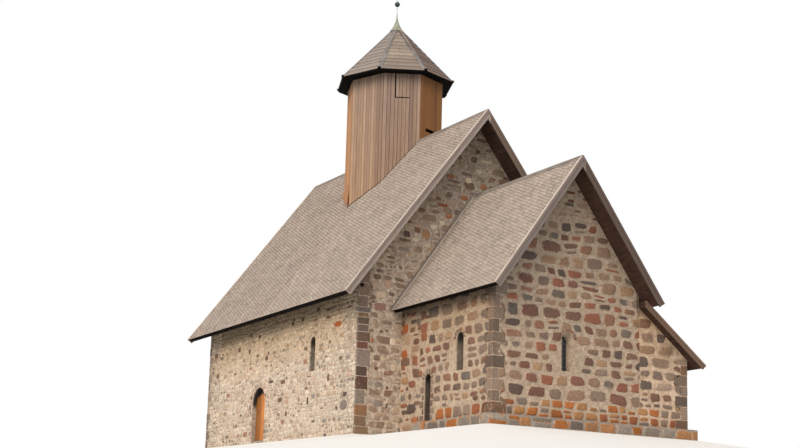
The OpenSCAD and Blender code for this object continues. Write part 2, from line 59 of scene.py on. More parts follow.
def readSlope(name, side, thickness):
    # one roof slope: its ridge, its eaves on that side of the ridge, its ends, fall and thickness
    found = nodePoints(name)
    tip = found[np.argmax(side * found[:, 1])]
    top = found[np.argmax(found[:, 2])]
    run = abs(tip[1]) - abs(top[1])
    return {"ridgeY": abs(top[1]), "ridgeZ": top[2], "eaveY": abs(tip[1]), "eaveZ": tip[2],
            "x0": found[:, 0].min(), "x1": found[:, 0].max(), "fall": (top[2] - tip[2]) / run,
            "thickness": thickness}


def span(name, axis):
    # the lowest and highest coordinate of a CAD node along one axis
    low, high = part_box(name)
    return low[axis], high[axis]


naveRoof = readSlope("nave_roof_south", -1, 0.18)
chancelRoof = readSlope("chancel_roof_south", -1, 0.16)
vestryRoof = readSlope("vestry_roof", 1, 0.14)
naveWest, naveEast = span("nave_west_wall", 0)[0], span("nave_east_gable", 0)[1]
naveHalf = span("nave_west_wall", 1)[1]
naveHead = span("nave_south_wall_west", 2)[1]
naveWall = naveHalf + span("nave_south_wall_west", 1)[1]
chancelEast, chancelHalf = span("chancel_east_wall", 0)[1], span("chancel_east_wall", 1)[1]
chancelHead = span("chancel_south_wall_east", 2)[1]
chancelWall = chancelHalf + span("chancel_south_wall_east", 1)[1]
vestryWest, vestryNorth = span("vestry_north_wall", 0)[0], span("vestry_north_wall", 1)[1]
vestryWall = chancelEast - span("vestry_east_wall", 0)[0]
plinthTop = span("plinth", 2)[1]
plinthOut = span("plinth", 0)[1] - chancelEast
stepWest, stepEast = span("chancel_door_step", 0)
stepTop = span("chancel_door_step", 2)[1]
# the windows' throat as the CAD cuts it: half its width, half a pane, and the panes' depth in the wall
throat = {"half": 0.14, "pane": 0.13, "depth": 0.314}
doorX = sum(span("nave_south_wall_over_door", 0)) / 2
priestX = sum(span("chancel_door", 0)) / 2
naveWindowX = sum(span("nave_window_panes", 0)) / 2
chancelWindowX = span("chancel_window_panes", 0)[0] + throat["half"]
naveFloor, chancelFloor = span("nave_floor", 2)[1], span("chancel_floor", 2)[1]
turretX = sum(span("turret_soffit", 0)) / 2
turretReach = np.array([span("turret_soffit", 0)[1] - turretX, span("turret_soffit", 1)[1]])
turretWallReach = np.array([span("turret_walls", 0)[1] - turretX, span("turret_walls", 1)[1]])
turretEave, turretCap = span("turret_roof", 2)[0], span("turret_cap", 2)[0]
turretSoffit = span("turret_soffit", 2)[0]

# openings as the CAD cuts them: middle, half width, foot and springing of the round head; then how
# much painted shade lies in their reveals, and how deep and how many the stones of the arch are
southDoor = {"u": doorX, "half": 0.64, "foot": naveFloor, "spring": 1.855, "dim": 0.3, "arch": (0.24, 13)}
priestDoor = {"u": priestX, "half": 0.22, "foot": chancelFloor, "spring": 1.93, "dim": 0.8, "arch": (0.2, 7)}
southWindow = {"u": naveWindowX, "half": 0.25, "foot": 2.67, "spring": 3.78, "dim": 0.68, "arch": (0.15, 9)}
northWindow = {**southWindow, "u": -naveWindowX}
chancelWindow = {"u": chancelWindowX, "half": 0.25, "foot": 2.05, "spring": 3.16, "dim": 0.68,
                 "arch": (0.16, 8)}
eastWindow = {**chancelWindow, "u": 0.0}


# shader helpers


def hexColour(code):
    # sRGB hex to the linear values that the shader takes
    parts = np.array([int(code[i:i + 2], 16) for i in (1, 3, 5)]) / 255
    linear = np.where(parts <= 0.04045, parts / 12.92, ((parts + 0.055) / 1.055) ** 2.4)
    return (*linear.tolist(), 1.0)


# settings that several nodes share: two kinds of noise, a product, a colour times a number, a range
# with soft ends, and a mix of two colours
cloudy, rugged = {"Detail": 3.0, "Roughness": 0.55}, {"Detail": 6.0, "Roughness": 0.7}
times, scaling = {"operation": "MULTIPLY"}, {"operation": "SCALE"}
softEnds, blend = {"interpolation_type": "SMOOTHSTEP"}, {"out": 2, "data_type": "RGBA"}


def addNode(tree, kind, links=(), out=0, stops=(), **settings):
    # one shader node with its settings: links gives its inputs, in order or by name, values or other
    # nodes' outputs, and stops a ramp's places with sRGB hex; returns one output, by place or name
    node = tree.nodes.new("ShaderNode" + kind)
    for key, value in settings.items():
        setattr(node, key, value)
    for key, value in links.items() if isinstance(links, dict) else enumerate(links):
        if isinstance(value, bpy.types.NodeSocket):
            tree.links.new(value, node.inputs[key])
        else:
            node.inputs[key].default_value = value
    if stops:
        marks = node.color_ramp.elements
        marks[0].position, marks[1].position = stops[0][0], stops[-1][0]
        for position, code in stops[1:-1]:
            marks.new(position)
        for mark, (position, code) in zip(marks, stops):
            mark.color = hexColour(code)
    return node.outputs[out] if node.outputs else None


def startMaterial(name, own):
    # a new material with values of its shader's own sockets; returns it with a call that adds a node
    # to it and with the object coordinates, in metres
    material = bpy.data.materials.new(name)
    material.use_nodes = True
    tree = material.node_tree
    for key, value in own.items():
        tree.nodes["Principled BSDF"].inputs[key].default_value = value

    def add(*given, **settings):
        return addNode(tree, *given, **settings)

    return material, add, add("TexCoord", out="Object")


def finish(material, colour, height=None, strength=0.4, distance=0.01):
    # links the colour, and a bump from height whose full depth is distance metres
    tree = material.node_tree
    shader = tree.nodes["Principled BSDF"]
    if colour is not None:
        tree.links.new(colour, shader.inputs["Base Color"])
    if height is not None:
        bump = addNode(tree, "Bump", {"Height": height, "Strength": strength, "Distance": distance})
        tree.links.new(bump, shader.inputs["Normal"])
    return material


def dressNodes(names, material):
    # the CAD nodes of that list take the material in every slot
    for name in names:
        mesh = nodes[name].data
        mesh.materials.clear()
        mesh.materials.append(material)


# mesh helpers


def stackedRings(rings):
    # n closed solids from an array (n, rings, k, 3): neighbouring rings are joined by quads and
    # the first and last are capped; rings run anticlockwise seen from the last one
    count, levels, sides = rings.shape[:3]
    first = np.arange(count)[:, None, None] * levels * sides
    here = np.arange(sides)
    after = (here + 1) % sides
    band = np.stack([here, after, after + sides, here + sides], axis=1)
    bands = np.concatenate([band + level * sides for level in range(levels - 1)])
    caps = np.stack([here[::-1], here + (levels - 1) * sides])
    return rings.reshape(-1, 3), [(first + bands).reshape(-1, 4), (first + caps).reshape(-1, sides)]


def rectangles(left, right, low, high):
    # (n, 4, 2) cells from their edges
    return np.stack([np.stack([left, low], -1), np.stack([right, low], -1),
                     np.stack([right, high], -1), np.stack([left, high], -1)], axis=1)


def prisms(plan, heights):
    # closed upright solids from (n, k, 2) plans, with a ring at each of the heights
    levels = [np.broadcast_to(np.reshape(z, (-1, 1, 1)), (*plan.shape[:2], 1)) for z in heights]
    return stackedRings(np.stack([np.concatenate([plan, z], axis=2) for z in levels], axis=1))


def boxes(low, high):
    # closed boxes from (n, 3) lowest and highest corners
    return prisms(rectangles(low[:, 0], high[:, 0], low[:, 1], high[:, 1]), (low[:, 2], high[:, 2]))


def addPiece(name, parts, material, body="building", smooth=False):
    # one object from parts, each (points, face arrays, tint or None), joined as whole arrays
    points = np.concatenate([part[0] for part in parts])
    offsets = np.cumsum([0] + [len(part[0]) for part in parts])
    faces = [face + offsets[i] for i, part in enumerate(parts) for face in part[1]]
    corners = np.concatenate([face.ravel() for face in faces])
    sizes = np.concatenate([np.full(len(face), face.shape[1]) for face in faces])
    mesh = bpy.data.meshes.new(name)
    mesh.vertices.add(len(points))
    mesh.vertices.foreach_set("co", points.astype(np.float32).ravel())
    mesh.loops.add(len(corners))
    mesh.loops.foreach_set("vertex_index", corners.astype(np.int32))
    mesh.polygons.add(len(sizes))
    mesh.polygons.foreach_set("loop_start", (np.cumsum(sizes) - sizes).astype(np.int32))
    mesh.polygons.foreach_set("use_smooth", np.full(len(sizes), smooth))
    mesh.update(calc_edges=True)
    if len(parts[0]) > 2:
        tint = mesh.attributes.new("tint", "FLOAT_COLOR", "POINT")
        tint.data.foreach_set("color", np.concatenate([part[2] for part in parts]).astype(np.float32).ravel())
    mesh.materials.append(material)
    piece = bpy.data.objects.new(name, mesh)
    bpy.context.scene.collection.objects.link(piece)
    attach(piece, body)
    print(name + ":", int((sizes - 2).sum()), "triangles")
    return piece


def pickTints(palette, count, spread=0.08):
    # one linear colour for each of count things, drawn by weight and made a little lighter or darker
    colours = np.array([hexColour(code)[:3] for code, weight in palette])
    weights = np.array([weight for code, weight in palette], float)
    chosen = colours[random.choice(len(palette), count, p=weights / weights.sum())]
    return chosen * (1 + random.normal(0, spread, (count, 1))).clip(0.6, 1.4)


def tintRings(colours, cover, perSolid):
    # the same colour on every point of a solid; cover fills the fourth channel, point by point
    spread = np.repeat(colours[:, None, :], perSolid, axis=1)
    cover = np.broadcast_to(cover, (len(colours), perSolid))[..., None]
    return np.concatenate([spread, cover], axis=2).reshape(-1, 4)


# walls of field stone

masonry = {
    "joint": 0.02,             # mortar between neighbouring stones, metres
    "sink": 0.008,             # how far a stone's foot lies behind the face of the wall
    "corners": 8,              # points round one stone
    "arm": (0.3, 0.18),        # lengths of the long and short stones beside an opening
}
# colours of a kind of stone, with their weights
naveStones = [("#deceba", 3), ("#cebda8", 4), ("#bea994", 5), ("#aa9681", 3.5), ("#c4a490", 2),
              ("#9d958b", 2), ("#8a7c6e", 1.6), ("#826854", 1.2), ("#a37962", 0.7), ("#6b5f56", 0.5)]
# the gable's stones are darker and greyer than the south wall's: partly their own colour, partly painted
# shade of the faces turned from the light
gableStones = [("#9b8773", 4), ("#8d7966", 4), ("#7f6c5c", 3.4), ("#ab9882", 2.4), ("#75624f", 1.6),
               ("#665449", 0.6), ("#87695a", 1), ("#bba993", 1.2), ("#8c8378", 1.2)]
chancelStones = [("#96614a", 1.8), ("#7d5749", 2), ("#785b4b", 2.2), ("#977b65", 2), ("#857263", 2),
                 ("#6f655c", 1.2), ("#a38465", 1), ("#5f5048", 0.8), ("#906b54", 1.6)]
vestryStones = [("#8a7462", 3), ("#7a695c", 3), ("#95785f", 2), ("#7f604d", 1.6), ("#a08a75", 2),
                ("#6a5c53", 1)]
footStones = [("#ab6836", 3), ("#995c3a", 2), ("#ab7e52", 2), ("#8a7767", 2), ("#786c62", 1.4)]
quoinStones = [("#8d7b6b", 4), ("#9c8875", 3), ("#776657", 3), ("#65554a", 1.4), ("#7c5f4a", 1)]
plinthStones = [("#857a6e", 3), ("#a5672f", 1.6), ("#a5774e", 1.4), ("#958a7d", 2), ("#6d6258", 1)]
# a kind of rubble: height of its courses, length of a stone in heights, wander of the beds, how far
# the stones stand out, how bare of mortar they are, share split in two, width of the joints,
# roundness of the corners, and its stones
naveRubble = {"course": (0.11, 0.23), "length": (1.1, 2.6), "wander": 0.045, "proud": (0.004, 0.018),
              "cover": (0.1, 0.85), "split": 0.2, "joint": 0.02, "round": (0.35, 0.85),
              "stones": naveStones}
gableRubble = {"course": (0.18, 0.38), "length": (1.0, 2.3), "wander": 0.06, "proud": (0.004, 0.022),
               "cover": (0.25, 0.95), "split": 0.25, "joint": 0.03, "round": (0.4, 0.85),
               "stones": gableStones}
chancelRubble = {"course": (0.28, 0.5), "length": (1.1, 2.1), "wander": 0.08, "proud": (0.012, 0.03),
                 "cover": (0.5, 1.0), "split": 0.08, "joint": 0.08, "round": (0.35, 0.7),
                 "stones": chancelStones}
vestryRubble = {**chancelRubble, "stones": vestryStones}
footRubble = {"course": (0.34, 0.52), "length": (0.9, 1.7), "wander": 0.02, "proud": (0.014, 0.03),
              "cover": (0.7, 1.0), "split": 0.2, "joint": 0.04, "round": (0.25, 0.5), "stones": footStones}
smearedRubble = {"course": (0.12, 0.22), "length": (1.8, 3.6), "wander": 0.04, "proud": (0.004, 0.016),
                 "cover": (0.0, 0.75), "split": 0.1, "joint": 0.05, "round": (0.4, 0.8),
                 "stones": vestryStones}
plinthRubble = {"course": (0.34, 0.36), "length": (1.2, 2.6), "wander": 0.0, "proud": (0.008, 0.02),
                "cover": (0.7, 1.0), "split": 0.25, "joint": 0.02, "round": (0.15, 0.35),
                "stones": plinthStones}
# single stones that stand out on a face: place along it, height, width, height of the stone, colour
namedTints = {"rust": "#8f5a3f", "brown": "#7a5d4a", "dark": "#5c4e45", "grey": "#877d73", "tan": "#ad9176",
              "maroon": "#714e42", "orange": "#a56f48", "ochre": "#a5805c", "cream": "#c2b099",
              "pink": "#b09783", "flame": "#ab5f30", "lime": "#d3c4ac"}
southSingles = [
    (1.95, 4.24, 0.78, 0.25, "flame"), (2.66, 1.14, 0.7, 0.42, "grey"), (2.74, 1.52, 0.4, 0.2, "dark"),
    (0.56, 3.45, 0.4, 0.2, "tan"), (-6.2, 4.78, 0.3, 0.22, "brown"), (-5.33, 4.6, 0.28, 0.22, "dark"),
    (-3.99, 4.34, 0.34, 0.22, "tan"), (-7.4, 4.3, 0.3, 0.22, "brown"), (-6.3, 4.1, 0.24, 0.3, "brown"),
    (-5.44, 3.83, 0.3, 0.14, "maroon"), (-4.5, 3.65, 0.36, 0.24, "brown"), (-9.93, 4.3, 0.5, 0.26, "brown"),
    (-2.1, 4.75, 0.26, 0.2, "dark"), (-1.18, 4.8, 0.24, 0.24, "dark"), (-4.0, 2.62, 0.5, 0.13, "dark"),
    (-2.83, 2.5, 0.5, 0.2, "brown"), (-3.04, 1.8, 0.46, 0.2, "brown"), (-2.4, 1.2, 0.24, 0.24, "maroon"),
    (-0.45, 1.55, 0.2, 0.34, "dark"), (2.3, 3.78, 0.36, 0.18, "tan"), (1.3, 2.3, 0.24, 0.34, "brown"),
    (-9.7, 3.4, 0.34, 0.22, "brown"), (1.1, 4.9, 0.4, 0.12, "maroon"), (0.2, 5.0, 0.3, 0.22, "brown"),
]
eastSingles = [
    (-1.11, 10.19, 0.41, 0.17, "orange"), (-0.47, 9.42, 0.38, 0.22, "orange"),
    (-1.42, 9.0, 0.61, 0.16, "rust"), (-1.14, 8.6, 0.3, 0.2, "orange"), (-2.13, 7.75, 0.4, 0.4, "ochre"),
    (-2.5, 7.88, 0.3, 0.25, "brown"), (-2.96, 7.67, 0.34, 0.28, "dark"), (-2.33, 8.68, 0.33, 0.22, "brown"),
    (0.69, 12.1, 0.19, 0.14, "rust"), (0.11, 11.35, 0.24, 0.19, "dark"), (0.39, 9.97, 0.35, 0.26, "orange"),
    (1.4, 10.46, 0.28, 0.19, "maroon"), (1.3, 11.2, 0.26, 0.2, "orange"), (1.0, 11.45, 0.27, 0.28, "brown"),
    (-1.63, 9.24, 0.27, 0.16, "brown"), (0.5, 11.0, 0.66, 0.15, "lime"), (0.2, 10.56, 0.42, 0.22, "lime"),
    (-0.28, 10.15, 0.32, 0.3, "lime"), (-1.41, 8.3, 0.27, 0.2, "lime"), (-1.8, 8.09, 0.38, 0.22, "lime"),
    (-2.59, 7.5, 0.4, 0.18, "lime"), (-2.05, 7.33, 0.34, 0.2, "cream"), (-2.84, 6.95, 0.2, 0.18, "tan"),
    # the three small dark spots in a row at 6.3 m stand for small holes: painted shade
    (-3.96, 5.24, 0.5, 0.3, "cream"), (-3.7, 5.67, 0.39, 0.34, "pink"), (-3.78, 6.32, 0.09, 0.08, "dark"),
    (-3.6, 6.32, 0.09, 0.08, "dark"), (-3.42, 6.33, 0.09, 0.08, "dark"), (-4.3, 4.93, 0.2, 0.09, "maroon"),
    (-4.3, 3.5, 0.16, 0.16, "orange"), (-3.92, 3.85, 0.16, 0.1, "dark"), (-3.7, 3.9, 0.14, 0.12, "brown"),
    (-4.1, 2.46, 0.2, 0.16, "maroon"), (-3.62, 1.79, 0.12, 0.14, "maroon"),
    (-3.62, 1.13, 0.1, 0.22, "dark"), (-3.88, 0.79, 0.56, 0.15, "pink"), (-3.35, 2.55, 0.28, 0.33, "cream"),
    (-3.43, 3.5, 0.27, 0.32, "lime"), (-3.98, 1.2, 0.5, 0.3, "grey"),
]
chancelSingles = [
    (3.93, 3.99, 0.5, 0.4, "flame"), (4.52, 4.46, 0.41, 0.16, "rust"), (5.62, 4.23, 0.56, 0.13, "maroon"),
    (4.53, 4.18, 0.48, 0.19, "dark"), (4.49, 3.89, 0.46, 0.21, "brown"), (4.99, 3.92, 0.32, 0.25, "brown"),
    (5.36, 3.53, 0.48, 0.36, "rust"), (4.72, 3.68, 0.4, 0.08, "maroon"), (4.78, 3.42, 0.5, 0.25, "maroon"),
    (4.13, 3.55, 0.44, 0.36, "tan"), (3.9, 3.04, 0.48, 0.38, "flame"), (4.56, 2.98, 0.37, 0.26, "tan"),
    (3.84, 2.54, 0.33, 0.19, "rust"), (3.89, 2.34, 0.4, 0.07, "rust"), (4.0, 2.05, 0.66, 0.32, "ochre"),
    (3.78, 1.7, 0.26, 0.1, "orange"), (4.17, 1.74, 0.25, 0.15, "maroon"), (3.86, 1.41, 0.42, 0.23, "grey"),
    (4.39, 1.43, 0.3, 0.26, "brown"), (3.96, 1.13, 0.6, 0.16, "rust"), (4.94, 1.15, 0.62, 0.16, "brown"),
    (4.1, 0.88, 0.76, 0.19, "dark"), (4.77, 0.55, 0.61, 0.26, "orange"), (5.02, 1.4, 0.5, 0.15, "grey"),
    (9.03, 0.98, 0.42, 0.2, "maroon"), (9.55, 0.95, 0.35, 0.18, "brown"),
]
eastTopSingles = [
    (0.1, 8.42, 0.4, 0.12, "maroon"), (0.8, 8.26, 0.5, 0.14, "rust"), (0.5, 8.5, 0.28, 0.1, "brown"),
    (0.1, 8.12, 0.32, 0.13, "maroon"), (-0.5, 8.0, 0.3, 0.1, "brown"), (1.2, 7.6, 0.4, 0.14, "maroon"),
]


def wallPlane(out, distance):
    # the plane of a wall's face: out points away from the masonry, u runs to the right seen from outside
    out = np.array(out, float)
    return {"out": out, "u": np.cross((0, 0, 1), out), "start": out * distance}


def onWall(wall, flat, lift):
    # (..., 2) places on the wall's face, lifted off it, as (..., 3) points
    return (wall["start"] + flat[..., :1] * wall["u"] + flat[..., 1:] * np.array([0, 0, 1.0])
            + np.asarray(lift)[..., None] * wall["out"])


def rubbleCells(across, rise, style):
    # rows of uneven height, each cut into cells of uneven length in proportion to that height;
    # the lines between rows are sums of two slow sines, and the upright joints lean a little
    heights = random.uniform(*style["course"], int((rise[1] - rise[0]) / style["course"][0]) + 2)
    lines = rise[0] + np.concatenate([[0], np.cumsum(heights)])
    rows = int(np.searchsorted(lines, rise[1]))
    heights = heights[:rows, None]
    columns = int((across[1] - across[0]) / (style["course"][0] * style["length"][0])) + 2
    lengths = heights * random.uniform(*style["length"], (rows, columns))
    starts = across[0] - random.uniform(0, 1, (rows, 1)) * heights
    joints = starts + np.concatenate([np.zeros((rows, 1)), np.cumsum(lengths, axis=1)], axis=1)
    lean = random.uniform(-0.2, 0.2, joints.shape) * heights
    phases = random.uniform(0, 2 * math.pi, (2, rows + 1, 1))

    def lineAt(row, u):
        wave = np.sin(1.9 * u + phases[0, row]) + 0.6 * np.sin(4.7 * u + phases[1, row])
        return lines[row][:, None] + style["wander"] * wave / 1.6

    row = np.arange(rows)
    low = lineAt(row, joints)
    high = lineAt(row + 1, joints)
    lowU = joints - lean
    highU = joints + lean
    cells = np.stack([
        np.stack([lowU[:, :-1], low[:, :-1]], -1), np.stack([lowU[:, 1:], low[:, 1:]], -1),
        np.stack([highU[:, 1:], high[:, 1:]], -1), np.stack([highU[:, :-1], high[:, :-1]], -1),
    ], axis=2).reshape(-1, 4, 2)
    split = random.uniform(size=len(cells)) < style["split"]
    share = random.uniform(0.38, 0.62, (split.sum(), 1))
    left = cells[split, 0] * (1 - share) + cells[split, 3] * share
    right = cells[split, 1] * (1 - share) + cells[split, 2] * share
    lower = np.stack([cells[split, 0], cells[split, 1], right, left], axis=1)
    upper = np.stack([left, right, cells[split, 2], cells[split, 3]], axis=1)
    return np.concatenate([cells[~split], lower, upper])


def stoneOutlines(cells, joint, roundness):
    # a superellipse in each cell, from squarish to round, its points nudged, shrunk by the joint
    corners = masonry["corners"]
    turn = 2 * math.pi * (np.arange(corners) + 0.5) / corners
    power = random.uniform(*roundness, (len(cells), 1))
    across = np.sign(np.cos(turn)) * np.abs(np.cos(turn)) ** power
    upright = np.sign(np.sin(turn)) * np.abs(np.sin(turn)) ** power
    nudge = random.uniform(0.84, 1.02, (2, len(cells), corners))
    width = np.linalg.norm(cells[:, 1] - cells[:, 0], axis=1)[:, None]
    height = np.linalg.norm(cells[:, 3] - cells[:, 0], axis=1)[:, None]
    s = ((1 + across * nudge[0] * (1 - joint / width).clip(0.3, 1)) / 2)[..., None]
    t = ((1 + upright * nudge[1] * (1 - joint / height).clip(0.3, 1)) / 2)[..., None]
    return ((1 - s) * (1 - t) * cells[:, None, 0] + s * (1 - t) * cells[:, None, 1]
            + s * t * cells[:, None, 2] + (1 - s) * t * cells[:, None, 3])


def outsideHole(flat, hole, margin):
    # true where a place is clear of a round-headed hole: beside it, below it, or beyond its arch
    across = np.abs(flat[..., 0] - hole["u"])
    beside = across > hole["half"] + margin
    below = flat[..., 1] < hole["foot"] - margin
    reach = np.hypot(across, flat[..., 1] - hole["spring"])
    above = (flat[..., 1] > hole["spring"]) & (reach > hole["half"] + margin)
    return beside | below | above


def stoneSolids(wall, outlines, proud, cover, colours, crownShare=0.68):
    # each stone is three rings: its foot behind the face, its rim at 0.55 of its height, and a
    # smaller crown at full height; the cover channel says how much of it the mortar leaves bare
    middle = outlines.mean(axis=1, keepdims=True)
    count = len(outlines)
    lift = random.uniform(*proud, (count, 1))
    tilt = random.uniform(-0.45, 0.45, (count, 1)) * np.cos(
        2 * math.pi * np.arange(outlines.shape[1]) / outlines.shape[1] + random.uniform(0, 6.3, (count, 1)))
    foot = onWall(wall, outlines, np.full(outlines.shape[:2], -masonry["sink"]))
    rim = onWall(wall, middle + (outlines - middle) * 0.95, 0.55 * lift * np.ones_like(tilt))
    crown = onWall(wall, middle + (outlines - middle) * crownShare, lift * (1 + tilt))
    rings = np.stack([foot, rim, crown], axis=1)
    bare = random.uniform(*cover, (count, 1))
    level = np.repeat([0.0, 0.45, 1.0], outlines.shape[1])[None]
    tint = tintRings(colours, bare * level, rings.shape[1] * rings.shape[2])
    return *stackedRings(rings), tint


def singleStones(wall, singles):
    # the stones that are named one by one, as superellipses of their own size
    u, z, width, height = np.array([row[:4] for row in singles]).T
    cells = rectangles(u - width / 2, u + width / 2, z - height / 2, z + height / 2)
    colours = np.array([hexColour(namedTints[row[4]])[:3] for row in singles])
    return stoneSolids(wall, stoneOutlines(cells, 0.0, (0.4, 0.95)), (0.014, 0.024), (0.75, 1.0), colours)


def fillWall(wall, across, rise, style, holes=(), limit=None, blocked=None, ends=(None, None), singles=()):
    # rubble over a whole face: cells are dropped where a hole, a single stone or another piece is,
    # and their outlines are held beside the blocks of both corners and below the line of the roof
    cells = rubbleCells(across, rise, style)
    outlines = stoneOutlines(cells, style["joint"], style["round"])
    middle = outlines.mean(axis=1)
    top = np.full(len(middle), rise[1]) if limit is None else limit(middle[:, 0])
    keep = (middle[:, 1] < top - 0.05) & (middle[:, 1] < rise[1])
    for hole in holes:
        keep &= outsideHole(outlines, hole, 0.01).all(axis=1)
    if blocked is not None:
        keep &= ~blocked(middle)
    if len(singles):
        u, z, width, height = np.array([row[:4] for row in singles])[:, :, None].transpose(1, 0, 2)
        apart = np.hypot((middle[:, 0] - u) / (width / 2 + 0.06), (middle[:, 1] - z) / (height / 2 + 0.05))
        keep &= (apart > 1).all(axis=0)
    left, right = across
    if ends[0]:
        left = left + quoinReach(ends[0], "b", outlines[..., 1]) + masonry["joint"]
    if ends[1]:
        right = right - quoinReach(ends[1], "a", outlines[..., 1]) - masonry["joint"]
    outlines[..., 0] = outlines[..., 0].clip(left, right)
    keep &= np.ptp(outlines[..., 0], axis=1) > 0.05
    outlines = outlines[keep]
    ceiling = rise[1] if limit is None else limit(outlines[..., 0])
    outlines[..., 1] = np.minimum(outlines[..., 1].clip(rise[0], None), ceiling)
    colours = pickTints(style["stones"], len(outlines))
    return stoneSolids(wall, outlines, style["proud"], style["cover"], colours)


def dressedStones(wall, cells, joint, palette):
    # squared stones round an opening, hardly rounded and nearly clear of mortar
    outlines = stoneOutlines(cells, joint, (0.12, 0.3))
    return stoneSolids(wall, outlines, (0.008, 0.018), (0.5, 0.95), pickTints(palette, len(cells)), 0.85)


def archStones(wall, hole, palette):
    # wedge stones round a round head: cells between two radii, cut at equal angles
    depth, count = hole["arch"]
    turn = np.linspace(0, math.pi, count + 1)
    outer = hole["half"] + depth * random.uniform(0.85, 1.15, count)
    inner = np.full(count, hole["half"] + 0.004)
    a, b = turn[:-1], turn[1:]
    cells = np.stack([np.stack([reach * np.cos(angle), reach * np.sin(angle)], -1)
                      for reach, angle in ((inner, a), (outer, a), (outer, b), (inner, b))], axis=1)
    return dressedStones(wall, cells + np.array([hole["u"], hole["spring"]]), 0.012, palette)


def jambStones(wall, hole, palette, course=(0.18, 0.32)):
    # long and short stones by turns up both sides of an opening
    tall = hole["spring"] - hole["foot"]
    heights = random.uniform(*course, int(tall / course[0]) + 1)
    lines = np.concatenate([[0], np.cumsum(heights)])
    lines = lines[:int(np.searchsorted(lines, tall)) + 1]
    lines = hole["foot"] + lines * tall / lines[-1]
    low, high = np.tile(lines[:-1], 2), np.tile(lines[1:], 2)
    side = np.repeat([-1, 1], len(lines) - 1)
    long = (np.arange(len(low)) + (side > 0)) % 2 == 0
    near = hole["u"] + side * (hole["half"] + 0.004)
    far = near + side * np.where(long, *masonry["arm"]) * random.uniform(0.85, 1.15, len(low))
    cells = rectangles(np.minimum(near, far), np.maximum(near, far), low, high)
    return dressedStones(wall, cells, 0.014, palette)


# corner blocks: height of a course, how far they stand out, half the joint between two courses, how
# deep they lie in the wall, and the size of the cut edge
quoins = {"course": (0.3, 0.5), "proud": 0.012, "joint": 0.008, "depth": 0.03, "cut": 0.02}


def quoinCourses(corner, toA, toB, rise, armA, armB, beds=()):
    # a corner with beds of uneven height, the lowest given by name and the rest drawn; its arms
    # along both faces are short and long by turns
    drawn = random.uniform(*quoins["course"], int((rise[1] - rise[0]) / quoins["course"][0]) + 1)
    heights = np.concatenate([list(beds), drawn])
    lines = rise[0] + np.concatenate([[0], np.cumsum(heights)])
    lines = np.append(lines[lines < rise[1] - 0.15], rise[1])
    odd = np.arange(len(lines) - 1) % 2 == 1
    stray = random.uniform(0.85, 1.15, (2, len(odd)))
    return {"corner": corner, "toA": np.array(toA, float), "toB": np.array(toB, float), "lines": lines,
            "a": np.where(odd, *armA) * stray[0], "b": np.where(odd, armB[1], armB[0]) * stray[1]}


def quoinReach(courses, arm, z):
    # how far the corner's blocks reach along one face at height z
    row = (np.searchsorted(courses["lines"], z, side="right") - 1).clip(0, len(courses[arm]) - 1)
    inside = (z > courses["lines"][0]) & (z < courses["lines"][-1])
    return np.where(inside, courses[arm][row], 0.0)


def cornerStones(courses, palette, named=()):
    # blocks that turn a corner: a plan of six points with the outer edge cut off, stacked in four
    # rings that pull in at the bed joints
    low, high = courses["lines"][:-1], courses["lines"][1:]
    count = len(low)
    proud = quoins["proud"] * random.uniform(0.4, 1.3, count)
    rings = []
    for height, inset in ((low + quoins["joint"], 0.01), (low + 0.025, 0.0), (high - 0.025, 0.0),
                          (high - quoins["joint"], 0.01)):
        out = proud - inset
        a, b = courses["a"] - inset, courses["b"] - inset
        back = np.full(count, quoins["depth"])
        cut = quoins["cut"] - out
        flat = np.stack([np.stack(pair, -1) for pair in (
            (a, -out), (a, back), (back, b), (-out, b), (-out, cut), (cut, -out))], 1)
        flat += random.uniform(-0.005, 0.005, flat.shape)
        ring = np.array([*courses["corner"], 0.0])
        ring = ring + flat[..., :1] * courses["toA"] + flat[..., 1:] * courses["toB"]
        ring[..., 2] = height[:, None] + random.uniform(-0.006, 0.006, ring.shape[:2])
        rings.append(ring)
    rings = np.stack(rings, axis=1)
    if np.cross(courses["toA"], courses["toB"])[2] < 0:
        rings = rings[:, :, ::-1]
    cover = np.repeat([0.1, 0.75, 0.75, 0.1], 6) * random.uniform(0.6, 1.2, (count, 1))
    colours = pickTints(palette, count)
    for k, code in enumerate(named[:count]):
        colours[k] = hexColour(code)[:3]
    return *stackedRings(rings), tintRings(colours, cover, 24)


# how far below the eaves a wall starts to darken, as painted shade of the eaves, and starts to turn brown and
# is fully brown
eavesShadeAndBrown = {"dark": 0.55, "brown": (2.1, 0.4)}
# reveals of the openings: where the head's shade starts and is full, measured from the springing, how
# dark it is there, and how far the shade goes beside, below and above the opening
reveals = {"start": 0.3, "full": 0.05, "black": 0.95, "beside": 0.4, "below": 0.2, "above": 0.03}


def heightToneAndEavesShade(add, place, colour, tone):
    # a wall's slow change with height, times damp clouds; in the last stretch under the eaves the
    # side walls turn brown and then dark, the dark being painted shade of the eaves
    y, height = add("SeparateXYZ", (place,)).node.outputs[1:]
    beside = add("Math", (add("Math", (y,), operation="ABSOLUTE"), tone["side"]), operation="GREATER_THAN")
    clouds = add("TexNoise", {"Vector": place, "Scale": 0.9, **cloudy})
    level = add("Math", (add("MapRange", (height, tone["low"], tone["high"], tone["foot"], tone["top"])),
                         add("MapRange", (clouds, 0.35, 0.65, 0.93, 1.06))), **times)
    # painted shade of the eaves: darker over the last stretch under them, on the side walls only
    start = tone["eaves"] - eavesShadeAndBrown["dark"]
    under = add("MapRange", (height, start, tone["eaves"], 0.0, 1 - tone["under"]), **softEnds)
    dark = add("Math", (beside, under), **times)
    level = add("Math", (level, add("Math", (1.0, dark), operation="SUBTRACT")), **times)
    start, end = (tone["eaves"] - below for below in eavesShadeAndBrown["brown"])
    share = add("Math", (beside, add("MapRange", (height, start, end, 0.0, tone["brown"]))), **times)
    brown = add("Mix", {0: share, 6: (1.0, 1.0, 1.0, 1.0), 7: (1.07, 0.97, 0.8, 1.0)}, **blend)
    both = add("VectorMath", (colour, brown), **times)
    return add("VectorMath", {0: both, "Scale": level}, **scaling)


